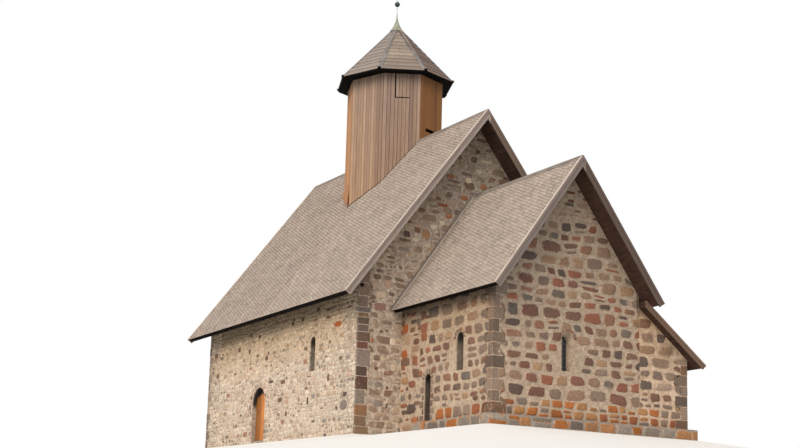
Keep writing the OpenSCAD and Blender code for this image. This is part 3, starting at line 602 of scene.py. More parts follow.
def buildStoneMaterial(name, limeDark, limeLight, tone):
    # field stone, split and laid rough in lime: mottled and iron-stained inside one colour a stone,
    # with the mortar smeared over its rim, so that no stone has a clean edge
    material, add, place = startMaterial(name, {"Roughness": 0.93})
    tint = add("Attribute", out="Color", attribute_name="tint")
    mottle = add("TexNoise", {"Vector": place, "Scale": 16.0, **rugged})
    # crystals drawn at 7 mm
    grain = add("TexNoise", {"Vector": place, "Scale": 150.0, "Detail": 2.0, "Roughness": 0.55})
    iron = add("TexNoise", {"Vector": place, "Scale": 5.0, **cloudy})
    smear = add("TexNoise", {"Vector": place, "Scale": 9.0, "Detail": 5.0, "Roughness": 0.6})
    patch = add("TexNoise", {"Vector": place, "Scale": 7.0, "Detail": 5.0, "Roughness": 0.55})
    warm = add("VectorMath", (tint, (1.12, 1.0, 0.88)), **times)
    stained = add("Mix", {0: add("MapRange", (iron, 0.42, 0.62, 0.0, 0.8)), 6: tint, 7: warm}, **blend)
    rough = add("Math", (add("MapRange", (mottle, 0.3, 0.7, 0.6, 1.32)),
                         add("MapRange", (grain, 0.3, 0.7, 0.86, 1.12))), **times)
    stone = add("VectorMath", {0: stained, "Scale": rough}, **scaling)
    reach = add("Math", (tint.node.outputs["Alpha"], smear), operation="ADD")
    bare = add("MapRange", (reach, 0.78, 1.02, 0.0, 1.0), **softEnds)
    lime = add("ValToRGB", (patch,), stops=[(0.34, limeDark), (0.66, limeLight)])
    both = add("Mix", {0: bare, 6: lime, 7: stone}, **blend)
    height = add("Math", (mottle, grain), operation="ADD")
    return finish(material, heightToneAndEavesShade(add, place, both, tone), height, 0.6, 0.014)


def buildMortarMaterial(name, stops, tone, west, east, half, wall, openings=()):
    # lime mortar, thrown and trowelled: beige with cream patches, grey hollows and small pinning
    # stones; painted shade dims the reveals and goes black under the heads of the openings; limewashed in the
    # rooms
    material, add, place = startMaterial(name, {"Roughness": 0.96})
    patch = add("TexNoise", {"Vector": place, "Scale": 8.0, **rugged})
    grit = add("TexNoise", {"Vector": place, "Scale": 70.0, **cloudy})
    pins = add("TexVoronoi", {"Vector": place, "Scale": 14.0})     # pinning stones 70 mm apart
    x, y, z = add("SeparateXYZ", (place,)).node.outputs
    endways = add("Math", (add("Math", (east, x), operation="SUBTRACT"),
                           add("Math", (x, west), operation="SUBTRACT")), operation="MINIMUM")
    sideways = add("Math", (half, add("Math", (y,), operation="ABSOLUTE")), operation="SUBTRACT")
    depth = add("Math", (endways, sideways), operation="MINIMUM")
    # painted shade in the openings: from the given amount low in each reveal to black under its head, only on
    # faces that lie behind the wall's outer face
    dim = 0.0
    for hole in openings:
        start, full = hole["spring"] - reveals["start"], hole["spring"] + reveals["full"]
        shade = add("MapRange", (z, start, full, hole["dim"], reveals["black"]), **softEnds)
        beside = add("Math", (add("Math", (x, hole["u"]), operation="SUBTRACT"),), operation="ABSOLUTE")
        top = hole["spring"] + hole["half"] + reveals["above"]
        for share in (add("Math", (beside, hole["half"] + reveals["beside"]), operation="LESS_THAN"),
                      add("Math", (z, hole["foot"] - reveals["below"]), operation="GREATER_THAN"),
                      add("Math", (z, top), operation="LESS_THAN")):
            shade = add("Math", (shade, share), **times)
        dim = add("Math", (dim, shade), operation="MAXIMUM")
    dim = add("Math", (add("MapRange", (depth, 0.01, 0.06, 0.0, 1.0)), dim), **times)
    light = add("Math", (add("MapRange", (pins, 0.12, 0.5, 0.8, 1.06)),
                         add("Math", (1.0, dim), operation="SUBTRACT")), **times)
    lime = add("VectorMath", {0: add("ValToRGB", (patch,), stops=stops), "Scale": light}, **scaling)
    inside = add("Math", (depth, wall - 0.01), operation="GREATER_THAN")
    skin = add("Mix", {0: inside, 6: heightToneAndEavesShade(add, place, lime, tone), 7: hexColour("#ddd6c8")}, **blend)
    height = add("Math", (grit, 0.4, patch), operation="MULTIPLY_ADD")
    return finish(material, skin, height, 0.7, 0.025)


# tone of a wall's surface at its foot and top, where its eaves are, and how dark (painted shade of the eaves)
# and brown it gets there
tones = {
    "south": {"low": 2.6, "high": 5.0, "foot": 0.95, "top": 0.97, "side": 0.0, "eaves": 4.95, "under": 0.4,
              "brown": 1.0},
    "gable": {"low": 6.5, "high": 11.0, "foot": 1.16, "top": 0.67, "side": 0.0, "eaves": 11.5, "under": 1.0,
              "brown": 0.35},
    "chancel": {"low": 2.0, "high": 7.0, "foot": 0.96, "top": 0.7, "side": chancelHalf - 0.1, "eaves": 4.6,
                "under": 0.4, "brown": 0.6},
}
southStone = buildStoneMaterial("fieldStoneCreamLime", "#bba794", "#ecdecb", tones["south"])
# darker, greyer lime on the gables: partly its own colour, partly painted shade
gableStone = buildStoneMaterial("fieldStoneGreyLime", "#8c796a", "#c6b29b", tones["gable"])
chancelStone = buildStoneMaterial("fieldStonePinkLime", "#a08571", "#caad93", tones["chancel"])
naveBlock = (naveWest, naveEast, naveHalf, naveWall)
farWest = -99.0     # the chancel's west end is open to the nave, so no face there is an outer one
southMortar = buildMortarMaterial("limeMortarCream", [(0.3, "#907f70"), (0.48, "#c6b099"), (0.7, "#eee1ce")],
                                  tones["south"], *naveBlock, [southDoor, southWindow])
# darker and greyer than the south mortar: partly its own colour, partly painted shade of the east and west
# faces
gableMortar = buildMortarMaterial("limeMortarGrey", [(0.3, "#7e6f61"), (0.48, "#a39280"), (0.7, "#d0c2ad")],
                                  tones["gable"], *naveBlock)
chancelMortar = buildMortarMaterial("limeMortarPink", [(0.3, "#947e6c"), (0.48, "#b29c84"), (0.7, "#cfbba3")],
                                    tones["chancel"], farWest, chancelEast, chancelHalf, chancelWall,
                                    [priestDoor, chancelWindow])
vestryMortar = buildMortarMaterial("limeMortarVestry",
                                   [(0.3, "#9c8069"), (0.48, "#c4a88c"), (0.7, "#e0c9ad")],
                                   tones["chancel"], vestryWest, chancelEast, vestryNorth, vestryWall)
walls = [name for name in nodes if "_wall" in name and "plates" not in name and "turret" not in name]
for start, mortar in (("nave", southMortar), ("nave_east", gableMortar), ("nave_west", gableMortar),
                      ("chancel", chancelMortar), ("vestry", vestryMortar)):
    dressNodes([name for name in walls if name.startswith(start)], mortar)
dressNodes(["nave_east_gable"], gableMortar)

southFace = wallPlane((0, -1, 0), naveHalf)
northFace = wallPlane((0, 1, 0), naveHalf)
westFace = wallPlane((-1, 0, 0), -naveWest)
eastFace = wallPlane((1, 0, 0), naveEast)
chancelSouthFace = wallPlane((0, -1, 0), chancelHalf)
chancelNorthFace = wallPlane((0, 1, 0), chancelHalf)
chancelEastFace = wallPlane((1, 0, 0), chancelEast)
vestryNorthFace = wallPlane((0, 1, 0), vestryNorth)
vestryWestFace = wallPlane((-1, 0, 0), -vestryWest)


def underRoof(roof):
    # the line where a gable meets its roof, as a function of the distance from the ridge
    rise = roof["thickness"] * math.hypot(1, roof["fall"])
    return lambda u: roof["ridgeZ"] - (np.abs(u) - roof["ridgeY"]) * roof["fall"] - rise


naveUnder, chancelUnder, vestryUnder = (underRoof(roof) for roof in (naveRoof, chancelRoof, vestryRoof))


def behindChancel(flat):
    # the part of the nave's east wall that the chancel and its roof hide
    across = np.abs(flat[..., 0])
    hidden = flat[..., 1] < chancelRoof["ridgeZ"] - across * chancelRoof["fall"]
    return (across < chancelHalf + 0.04) & hidden


def behindStep(flat):
    # the part of the chancel's south wall behind the plinth and the block at the narrow doorway
    inStep = (flat[..., 0] > stepWest) & (flat[..., 0] < stepEast) & (flat[..., 1] < stepTop)
    return inStep | ((flat[..., 0] >= stepEast) & (flat[..., 1] < plinthTop))


naveEdge, chancelEdge = float(naveUnder(naveHalf)), float(chancelUnder(chancelHalf))
vestryEdge, vestryHead = float(vestryUnder(vestryNorth)), float(vestryUnder(chancelHalf))
# a corner's two faces, first the one on its left seen from outside: their directions away from it
turns = {"SE": ((-1, 0, 0), (0, 1, 0)), "NE": ((0, -1, 0), (-1, 0, 0)), "SW": ((0, 1, 0), (1, 0, 0)),
         "NW": ((1, 0, 0), (0, -1, 0))}
# the nave's south-east corner, block by block from the foot: heights of the blocks and colours
cornerBeds = (0.29, 0.38, 0.42, 0.54, 0.5, 0.36, 0.64, 0.27, 0.37, 0.27, 0.28, 0.17, 0.2, 0.42)
cornerTints = ("#7d6750", "#77614b", "#836246", "#7e746a", "#573f33", "#53443c", "#80726a", "#6b4a3c",
               "#675447", "#6a5c54", "#5f5348", "#7a6049", "#6e6761", "#76655b", "#7b6a5e", "#7b6a5e")
naveRise, chancelRise, vestryRise = (0.0, naveEdge), (plinthTop, chancelEdge), (plinthTop, vestryEdge)
naveSE = quoinCourses((naveEast, -naveHalf), *turns["SE"], naveRise, (0.05, 0.08), (0.5, 0.38), cornerBeds)
naveNE = quoinCourses((naveEast, naveHalf), *turns["NE"], naveRise, (0.34, 0.52), (0.3, 0.14))
naveSW = quoinCourses((naveWest, -naveHalf), *turns["SW"], naveRise, (0.3, 0.5), (0.36, 0.18))
naveNW = quoinCourses((naveWest, naveHalf), *turns["NW"], naveRise, (0.18, 0.36), (0.5, 0.3))
chancelSE = quoinCourses((chancelEast, -chancelHalf), *turns["SE"], chancelRise, (0.24, 0.44), (0.5, 0.28))
vestryNE = quoinCourses((chancelEast, vestryNorth), *turns["NE"], vestryRise, (0.3, 0.52), (0.5, 0.3))
vestryNW = quoinCourses((vestryWest, vestryNorth), *turns["NW"], vestryRise, (0.3, 0.5), (0.5, 0.3))

addPiece("nave_south_stones", [
    fillWall(southFace, (naveWest, naveEast), (0.0, naveHead), naveRubble, [southDoor, southWindow],
             ends=(naveSW, naveSE), singles=southSingles),
    singleStones(southFace, southSingles),
    archStones(southFace, southDoor, naveStones),
    jambStones(southFace, southDoor, naveStones),
    archStones(southFace, southWindow, naveStones),
], southStone, smooth=True)
addPiece("nave_north_stones", [
    fillWall(northFace, (-naveEast, -naveWest), (0.0, naveHead), naveRubble, [northWindow],
             ends=(naveNE, naveNW)),
    archStones(northFace, northWindow, naveStones),
], southStone, smooth=True)
naveGable = ((-naveHalf, naveHalf), (0.0, naveRoof["ridgeZ"]), gableRubble)
addPiece("nave_west_stones", [
    fillWall(westFace, *naveGable, limit=naveUnder, ends=(naveNW, naveSW)),
], gableStone, smooth=True)
addPiece("nave_east_stones", [
    fillWall(eastFace, *naveGable, limit=naveUnder, blocked=behindChancel, ends=(naveSE, naveNE),
             singles=eastSingles),
    singleStones(eastFace, eastSingles),
], gableStone, smooth=True)
belt = plinthTop + 0.62     # big blocks up to here, field stones above
smeared = 7.5               # from here to the ridge the chancel's gable is smeared with mortar
joined = 0.02               # the chancel's stones stop this far from the nave and from the step
chancelAcross = (-chancelHalf, chancelHalf)
addPiece("chancel_stones", [
    fillWall(chancelSouthFace, (naveEast + joined, stepWest), (0.0, chancelHead), chancelRubble, [priestDoor],
             blocked=behindStep, singles=chancelSingles),
    fillWall(chancelSouthFace, (stepWest, chancelEast), (belt, chancelHead), chancelRubble,
             [priestDoor, chancelWindow], blocked=behindStep, ends=(None, chancelSE), singles=chancelSingles),
    fillWall(chancelSouthFace, (stepEast + joined, chancelEast), (plinthTop, belt), footRubble, [priestDoor],
             ends=(None, chancelSE)),
    singleStones(chancelSouthFace, chancelSingles),
    archStones(chancelSouthFace, priestDoor, quoinStones),
    jambStones(chancelSouthFace, priestDoor, quoinStones),
    archStones(chancelSouthFace, chancelWindow, chancelStones),
    fillWall(chancelNorthFace, (-vestryWest, -naveEast - joined), (0.0, chancelHead), chancelRubble),
    fillWall(chancelEastFace, chancelAcross, (belt, smeared), chancelRubble, [eastWindow], limit=chancelUnder,
             ends=(chancelSE, None)),
    fillWall(chancelEastFace, (-chancelHalf, vestryNorth), (plinthTop, belt), footRubble,
             ends=(chancelSE, vestryNE)),
    fillWall(chancelEastFace, chancelAcross, (smeared, chancelRoof["ridgeZ"]), smearedRubble,
             limit=chancelUnder, singles=eastTopSingles),
    singleStones(chancelEastFace, eastTopSingles),
    archStones(chancelEastFace, eastWindow, chancelStones),
], chancelStone, smooth=True)
addPiece("vestry_stones", [
    fillWall(chancelEastFace, (chancelHalf, vestryNorth), (belt, vestryHead), vestryRubble,
             limit=vestryUnder, ends=(None, vestryNE)),
    fillWall(vestryNorthFace, (-chancelEast, -vestryWest), vestryRise, vestryRubble,
             ends=(vestryNE, vestryNW)),
    fillWall(vestryWestFace, (-vestryNorth, -chancelHalf), (0.0, vestryHead), vestryRubble,
             limit=vestryUnder, ends=(vestryNW, None)),
], chancelStone, smooth=True)
addPiece("nave_quoins", [cornerStones(naveSE, quoinStones, cornerTints)]
         + [cornerStones(corner, quoinStones) for corner in (naveNE, naveSW, naveNW)],
         gableStone)
addPiece("chancel_quoins", [cornerStones(corner, quoinStones) for corner in (chancelSE, vestryNE, vestryNW)],
         chancelStone)


# plinth and step


def buildPlinthMaterial():
    # rough ledge slabs: grey stone with orange lichen in rounded colonies
    material, add, place = startMaterial("ledgeSlabsLichened", {"Roughness": 0.95})
    mottle = add("TexNoise", {"Vector": place, "Scale": 14.0, "Detail": 6.0, "Roughness": 0.55})
    growth = add("TexNoise", {"Vector": place, "Scale": 3.4, **rugged})
    colony = add("MapRange", (growth, 0.52, 0.58, 0.0, 0.8), **softEnds)
    slab = add("ValToRGB", (mottle,), stops=[(0.3, "#716a61"), (0.7, "#aba092")])
    skin = add("Mix", {0: colony, 6: slab, 7: hexColour("#b26d33")}, **blend)
    return finish(material, skin, mottle, 0.6, 0.02)


dressNodes(["plinth", "chancel_door_step"], buildPlinthMaterial())
plinthEast, plinthSouth, plinthNorth = np.array([chancelEast, chancelHalf, vestryNorth]) + plinthOut
ledge = (0.0, plinthTop - 0.01)
addPiece("plinth_stones", [
    fillWall(wallPlane((1, 0, 0), plinthEast), (-plinthSouth, plinthNorth), ledge, plinthRubble),
    fillWall(wallPlane((0, -1, 0), plinthSouth), (stepEast, plinthEast), ledge, plinthRubble),
    fillWall(wallPlane((0, 1, 0), plinthNorth), (-plinthEast, -vestryWest), ledge, plinthRubble),
], chancelStone, smooth=True)
print("masonry done")


# shingled roofs

shingles = {
    "exposure": 0.135,         # what shows of one course, up the slope
    "width": 0.155,
    "stray": 0.008,            # unevenness of the widths and of the lower edges
    "gap": 0.007,
    "butt": (0.017, 0.024),    # thickness at the lower edge
    "lift": 0.006,             # the lower edge lies on the course below
    "thin": 0.004,             # thickness at the upper edge
    "overhang": 0.03,          # past the eaves
    "turretExposure": 0.29,
    "turretWidth": 1.7,
}
shingleTints = [("#b7a799", 5), ("#bdad9f", 4), ("#af9f91", 4), ("#c3b4a6", 1.5), ("#a6978a", 1.2),
                ("#bcaa9b", 3)]
# palettes for the turret roof's faces by how light falls on them: lighter, front and shade copies of one
# grey, painted light and shade
turretTints = {"light": [("#958a83", 3), ("#90867f", 3), ("#9b9188", 2)],
               "front": [("#978a7d", 3), ("#8b7f75", 3), ("#a59889", 2), ("#7e7169", 1)],
               "shade": [("#756459", 3), ("#6b5b51", 3), ("#7f6e62", 1)]}


def shingleSolids(start, along, up, length, slope, exposure, width, halfAt=None, skip=None,
                  palette=shingleTints, spread=0.035, streak=None, byRow=False):
    # one slope in courses: each shingle is a wedge of eight corners, thick at its lower edge, lying
    # on the course below, and every other one lies half a course lower, while the long boards of a
    # byRow roof break joint; the fourth channel, for painted shade, falls from the lower edge upwards
    # and to nothing underneath; halfAt gives the half width of a hipped face at a height
    along, up = np.array(along, float), np.array(up, float)
    out = np.cross(along, up)
    rows = int(math.ceil((slope + shingles["overhang"]) / exposure)) + 1
    columns = int(length / width) + 3
    edges = (np.arange(columns + 1)[None] + 0.5 * byRow * (np.arange(rows)[:, None] % 2) - 1) * width
    edges = edges + random.uniform(-1, 1, edges.shape) * shingles["stray"] * width / shingles["width"]
    left = edges[:, :-1] + shingles["gap"] / 2
    right = edges[:, 1:] - shingles["gap"] / 2
    foot = (np.arange(rows)[:, None] * exposure - shingles["overhang"]
            + random.uniform(-0.5, 0.5, left.shape) * shingles["stray"])
    foot = foot - 0.5 * exposure * (not byRow) * (np.arange(columns)[None] % 2)
    head = np.minimum(foot + exposure * 1.25, slope)
    foot = np.maximum(foot, -shingles["overhang"])
    colours = pickTints(palette, left.size, spread)
    if byRow:
        shade = 0.75 + 0.25 * colours / colours.mean()
        colours = np.repeat(pickTints(palette, rows, spread), columns, axis=0) * shade
    left, right, foot, head = left.ravel(), right.ravel(), foot.ravel(), head.ravel()
    keep = (right > 0.01) & (left < length - 0.01) & (head - foot > 0.03)
    left, right = left[keep].clip(0, length), right[keep].clip(0, length)
    foot, head, colours = foot[keep], head[keep], colours[keep]
    a = np.stack([left, right, right, left], axis=1)
    b = np.stack([foot, foot, head, head], axis=1)
    if halfAt is not None:
        low, high = length / 2 - halfAt(b), length / 2 + halfAt(b)
        keep = (a[:, 1] > low[:, 0] + 0.01) & (a[:, 0] < high[:, 0] - 0.01)
        a, b, colours = a[keep].clip(low[keep], high[keep]), b[keep], colours[keep]
    middle = start + a.mean(axis=1)[:, None] * along + b.mean(axis=1)[:, None] * up
    if skip is not None:
        a, b, colours, middle = (each[~skip(middle)] for each in (a, b, colours, middle))
    butt = random.uniform(*shingles["butt"], len(a))
    flat = start + a[..., None] * along + b[..., None] * up
    under = np.array([shingles["lift"], shingles["lift"], 0.0, 0.0])
    over = np.stack([butt, butt, 0 * butt + shingles["thin"], 0 * butt + shingles["thin"]], axis=1)
    low = flat + under[None, :, None] * out
    high = low + over[..., None] * out
    points, faces = stackedRings(np.stack([low, high], axis=1))
    if streak is not None:
        colours = colours * streak(middle)
    # painted shade: dark on the butts and undersides, and darker towards the covered upper end
    return points, faces, tintRings(colours, np.array([0, 0, 0, 0, 1, 1, 0.2, 0.2]), 8)


def drip(middle):
    # the brown line that runs down the south slope from the turret, and the greyer roof west of it
    line = (np.abs(middle[:, 0] - (turretX + 0.03)) < 0.06) & (middle[:, 1] < -turretWallReach[1])
    tone = np.ones((len(middle), 3))
    tone[line] = (0.82, 0.74, 0.66)
    tone *= np.where(middle[:, :1] < turretX - 0.1, 0.95, 1.0)
    return tone


def slopeFrame(roof, side):
    # a slope of a gabled roof on the south (-1) or north (1) side of its ridge: a place on its eaves
    # at x = 0, the way up it, and its length
    run, rise = roof["eaveY"] - roof["ridgeY"], roof["ridgeZ"] - roof["eaveZ"]
    slope = math.hypot(run, rise)
    return np.array([0, side * roof["eaveY"], roof["eaveZ"]]), np.array([0, -side * run, rise]) / slope, slope


def gableSlope(roof, side, skip=None, streak=None):
    # the shingles of one slope, laid from its left end as it is seen from outside
    foot, up, slope = slopeFrame(roof, side)
    start = foot + (roof["x0"] if side < 0 else roof["x1"], 0, 0)
    return shingleSolids(start, (-side, 0, 0), up, roof["x1"] - roof["x0"], slope, shingles["exposure"],
                         shingles["width"], skip=skip, streak=streak)


def octagonCorner(i, reach):
    # corner i of the turret's plan, anticlockwise from the east
    return np.array([turretX + reach[0] * math.cos(math.pi * i / 4), reach[1] * math.sin(math.pi * i / 4)])


def insideTurret(points):
    # true for places within the turret's boarded walls, with an edge to spare
    x = (points[:, 0] - turretX) / turretWallReach[0]
    y = points[:, 1] / turretWallReach[1]
    return np.hypot(x, y) < 0.88


turretShare = 0.095      # share of the reach that is left where the cap starts


def turretRoofFace(i, palette):
    # one of the eight faces: a trapezoid that narrows to the metal cap
    a, b = octagonCorner(i, turretReach), octagonCorner(i + 1, turretReach)
    middle = (a + b) / 2
    width = np.linalg.norm(b - a)
    # up the slope lies in the plane of the face and square to its eaves
    along = np.array([*(b - a) / width, 0.0])
    toTop = np.array([*(np.array([turretX, 0.0]) - middle) * (1 - turretShare), turretCap - turretEave])
    up = toTop - (toTop @ along) * along
    slope = np.linalg.norm(up)
    up /= slope
    start = np.array([*a, turretEave])
    return shingleSolids(start, along, up, width, slope, shingles["turretExposure"], shingles["turretWidth"],
                         halfAt=lambda b: width / 2 * (1 - (1 - turretShare) * b.clip(0, None) / slope),
                         palette=palette, spread=0.05, byRow=True)


def buildShingleMaterial(name, scale):
    # split pine shingles, weathered silver grey with a pink cast: streaks run down the slope, and
    # every course darkens under the butts of the next, as painted shade
    material, add, place = startMaterial(name, {"Roughness": 0.86})
    tint = add("Attribute", out="Color", attribute_name="tint")
    along = add("Mapping", {"Vector": place, "Scale": scale})
    grain = add("TexNoise", {"Vector": along, "Scale": 1.0, "Detail": 4.0, "Roughness": 0.55})
    clouds = add("TexNoise", {"Vector": place, "Scale": 0.8, **cloudy})
    tone = add("MapRange", (grain, 0.3, 0.7, 0.84, 1.12))
    for share in (add("MapRange", (clouds, 0.35, 0.65, 0.93, 1.06)),
                  # the tint's fourth channel darkens the butts and the covered ends: painted shade
                  add("MapRange", (tint.node.outputs["Alpha"], 0.0, 1.0, 0.64, 1.0))):
        tone = add("Math", (tone, share), **times)
    skin = add("VectorMath", {0: tint, "Scale": tone}, **scaling)
    return finish(material, skin, grain, 0.3, 0.004)


shingleMaterial = buildShingleMaterial("pineShinglesSilvered", (60.0, 4.0, 4.0))
turretShingle = buildShingleMaterial("turretRoofBoardsSilvered", (5.0, 5.0, 40.0))
# which palette each roof face takes, by how it is lit: painted light and shade
roofFaces = ["shade", "shade", "light", "light", "light", "light", "light", "front"]
addPiece("nave_shingles_south", [gableSlope(naveRoof, -1, insideTurret, drip)], shingleMaterial)
addPiece("nave_shingles_north", [gableSlope(naveRoof, 1, insideTurret)], shingleMaterial)
addPiece("chancel_shingles", [gableSlope(chancelRoof, side) for side in (-1, 1)], shingleMaterial)
addPiece("vestry_shingles", [gableSlope(vestryRoof, 1)], shingleMaterial)
addPiece("turret_shingles", [turretRoofFace(i, turretTints[roofFaces[i]]) for i in range(8)], turretShingle)
print("roofs done")


# boards

boards = {
    "turretWidth": 0.165,
    "turretThickness": (0.02, 0.03),
    "stray": 0.012,            # unevenness of the widths
    "slack": 0.006,            # half the open joint between two boards
    "edge": 0.004,             # size of the worn edge round a board's face
    "turretFoot": 0.055,       # open joint over the shingles
    "headJoint": 0.002,        # open joint under the soffit
    "apronLow": 0.03,          # how far the flared foot boards reach below and above that joint
    "apronHigh": 0.28,
    "flare": 0.1,
}
# palettes for the turret's boards, one for a side: the shade one is darker for the faces turned from the
# light, and south and east are set to how those faces are lit, painted shade and light over the boards' own
# orange and brown
turretFaceTints = {
    "west": [("#ae8058", 4), ("#a4764f", 3), ("#b68961", 2)],
    "south": [("#9b816d", 4), ("#957b68", 3), ("#a28972", 3), ("#8b7262", 1), ("#9b8069", 2)],
    "east": [("#937b6b", 4), ("#8c7465", 3), ("#998170", 3), ("#836b5d", 1), ("#937a66", 2)],
    "shade": [("#91602f", 4), ("#88572b", 3), ("#986837", 2), ("#7b4d26", 1)],
}


def buildBoardMaterial(name, dark, light, scale, roughness=0.85, gloss=0.5):
    # sawn softwood boards left to weather: long grain in two tones and a soft cloudiness; scale is
    # small along the grain and large across it; tar that soaks in leaves hardly any gloss
    material, add, place = startMaterial(name, {"Roughness": roughness, "Specular IOR Level": gloss})
    along = add("Mapping", {"Vector": place, "Scale": scale})
    grain = add("TexNoise", {"Vector": along, "Scale": 1.0, "Detail": 5.0, "Roughness": 0.6})
    clouds = add("TexNoise", {"Vector": place, "Scale": 1.6, **cloudy})
    both = add("Math", (clouds, 0.5, grain), operation="MULTIPLY_ADD")
    return finish(material, add("ValToRGB", (both,), stops=[(0.55, dark), (0.95, light)]), grain, 0.35, 0.006)


def buildVergeMaterial(name, node, fall, rail, board, north):
    # sawn boards up the slopes of a gable: the grain runs with the slope, the cover strip at the
    # face has a colour of its own apart from the board behind it, and the north side is browner
    material, add, place = startMaterial(name, {"Roughness": 0.85})
    low, high = span(node, 0)
    x, y, z = add("SeparateXYZ", (place,)).node.outputs
    apart = add("Math", (y,), operation="ABSOLUTE")
    run = math.hypot(1, fall)
    # places in the slope's own directions: square to it, and down it
    across = add("Math", (apart, fall / run, add("Math", (z, 1 / run), **times)),
                 operation="MULTIPLY_ADD")
    along = add("Math", (apart, 1 / run, add("Math", (z, -fall / run), **times)),
                operation="MULTIPLY_ADD")
    grained = ((x, 30.0), (along, 1.2), (across, 45.0))
    stretched = [add("Math", pair, **times) for pair in grained]
    grain = add("TexNoise", {"Vector": add("CombineXYZ", stretched), "Scale": 1.0, "Detail": 4.0,
                             "Roughness": 0.55})
    middle = add("Math", (x, (low + high) / 2), operation="SUBTRACT")
    onRail = add("Math", (add("Math", (middle,), operation="ABSOLUTE"), (high - low) / 2 - 0.014),
                 operation="GREATER_THAN")
    colour = add("Mix", {0: onRail, 6: hexColour(board), 7: hexColour(rail)}, **blend)
    onNorth = add("Math", (y, 0.12), operation="GREATER_THAN")
    colour = add("Mix", {0: onNorth, 6: colour, 7: hexColour(north)}, **blend)
    light = add("MapRange", (grain, 0.3, 0.7, 0.75, 1.2))
    skin = add("VectorMath", {0: colour, "Scale": light}, **scaling)
    return finish(material, skin, grain, 0.35, 0.006)


# the nave's cover strip is darker than its board: painted shade under the capping
for name, part, roof, rail, board, north in (
        ("naveVergeSawnGrey", "nave", naveRoof, "#84736b", "#9d8f85", "#6e5b4e"),
        ("chancelVergeSawnGrey", "chancel", chancelRoof, "#7a6a62", "#7c7067", "#5c4c43"),
        ("vestryVergeSawnBrown", "vestry", vestryRoof, "#7a5f4c", "#6d5545", "#735a49")):
    node = part + "_bargeboards"
    dressNodes([node], buildVergeMaterial(name, node, roof["fall"], rail, board, north))
# capping boards on the edges of the gabled roofs: breadth, thickness, how far each hangs out and lies
# over the roof's own surface, how far it goes past the eaves, and how far short of the ridge it ends
cappings = {"width": 0.1, "thickness": 0.022, "out": 0.035, "up": 0.02, "past": 0.03, "short": 0.01}


def slopeStrip(roof, side, inner, outer):
    # one board up a slope: a four-sided section between x = inner and x = outer, of the cappings'
    # thickness, that runs from the eaves to the ridge
    foot, up, slope = slopeFrame(roof, side)
    out = np.cross((-side, 0, 0), up)
    low, high = cappings["up"], cappings["up"] + cappings["thickness"]
    rings = np.array([[foot + (x, 0, 0) + lift * out + reach * up
                       for x, lift in ((inner, low), (outer, low), (outer, high), (inner, high))]
                      for reach in (-cappings["past"], slope - cappings["short"])])[None]
    if (outer - inner) * side < 0:
        rings = rings[:, :, ::-1]
    return stackedRings(rings)


def capping(roof, side, turn):
    # the board on a verge; turn is the way out along x
    edge = roof["x1"] if turn > 0 else roof["x0"]
    outer = edge + turn * cappings["out"]
    return slopeStrip(roof, side, outer - turn * cappings["width"], outer)


addPiece("verge_cappings", [capping(naveRoof, side, turn) for side in (-1, 1) for turn in (-1, 1)]
         + [capping(chancelRoof, -1, 1), capping(chancelRoof, 1, 1), capping(vestryRoof, 1, 1)]
         + [slopeStrip(chancelRoof, side, naveEast + 0.02, naveEast + 0.11) for side in (-1, 1)],
         buildBoardMaterial("cappingBoardsSilvered", "#b3a496", "#d6c9bb", (30.0, 1.5, 1.5)))
# near black boards: on the turret's soffit they stand for the shade under its eaves, painted shade; the hip
# boards' ends take them too
nearBlackWood = buildBoardMaterial("eavesBoardsNearBlack", "#060505", "#0e0c0b", (3.0, 3.0, 3.0), 0.9, 0.05)
darkWood = buildBoardMaterial("turretFrameTarred", "#15100d", "#2a1f18", (8.0, 8.0, 1.0), 0.9, 0.1)
for names, material in (
        (["ridge_boards"],
         buildBoardMaterial("ridgeBoardsSawnGrey", "#5d534b", "#968a7f", (1.2, 40.0, 40.0))),
        (["turret_hip_boards"],
         buildBoardMaterial("hipBoardsSawnGrey", "#5d5854", "#8b8580", (6.0, 6.0, 3.0))),
        # the south undersides, wall plates and turret roof body are near black, painted shade under the
        # eaves; the north undersides are brown
        (["nave_roof_south", "chancel_roof_south", "turret_roof", "nave_wall_plates", "chancel_wall_plates"],
         buildBoardMaterial("roofBoardsPaintedShade", "#0b0908", "#1d1612", (1.5, 12.0, 12.0), 0.9, 0.05)),
        (["nave_roof_north", "chancel_roof_north", "vestry_roof"],
         buildBoardMaterial("roofBoardsTarWorn", "#33241d", "#543c30", (1.5, 12.0, 12.0), 0.9, 0.2)),
        (["turret_soffit"], nearBlackWood),
        (["turret_walls", "turret_hatch"], darkWood)):
    dressNodes(names, material)


def buildTurretMaterial():
    # upright pine boards, once tarred: one tone a board, long streaks down the grain, darker under the
    # eaves as painted shade, and warmer lower down
    material, add, place = startMaterial("turretBoardsTarWorn", {"Roughness": 0.82})
    tint = add("Attribute", out="Color", attribute_name="tint")
    along = add("Mapping", {"Vector": place, "Scale": (38.0, 38.0, 1.1)})
    grain = add("TexNoise", {"Vector": along, "Scale": 1.0, "Detail": 6.0, "Roughness": 0.65})
    height = add("SeparateXYZ", (place,), "Z")
    # painted shade under the eaves
    eavesShade = add("MapRange", (height, turretSoffit - 0.75, turretSoffit - 0.1, 1.0, 0.72), **softEnds)
    low = add("MapRange", (height, naveRoof["ridgeZ"] - 2.4, naveRoof["ridgeZ"] + 2.2, 0.8, 0.0))
    warm = add("VectorMath", (tint, (1.12, 1.0, 0.86)), **times)
    tone = add("Math", (add("MapRange", (grain, 0.28, 0.72, 0.66, 1.22)), eavesShade), **times)
    colour = add("Mix", {0: low, 6: tint, 7: warm}, **blend)
    skin = add("VectorMath", {0: colour, "Scale": tone}, **scaling)
    return finish(material, skin, grain, 0.4, 0.006)


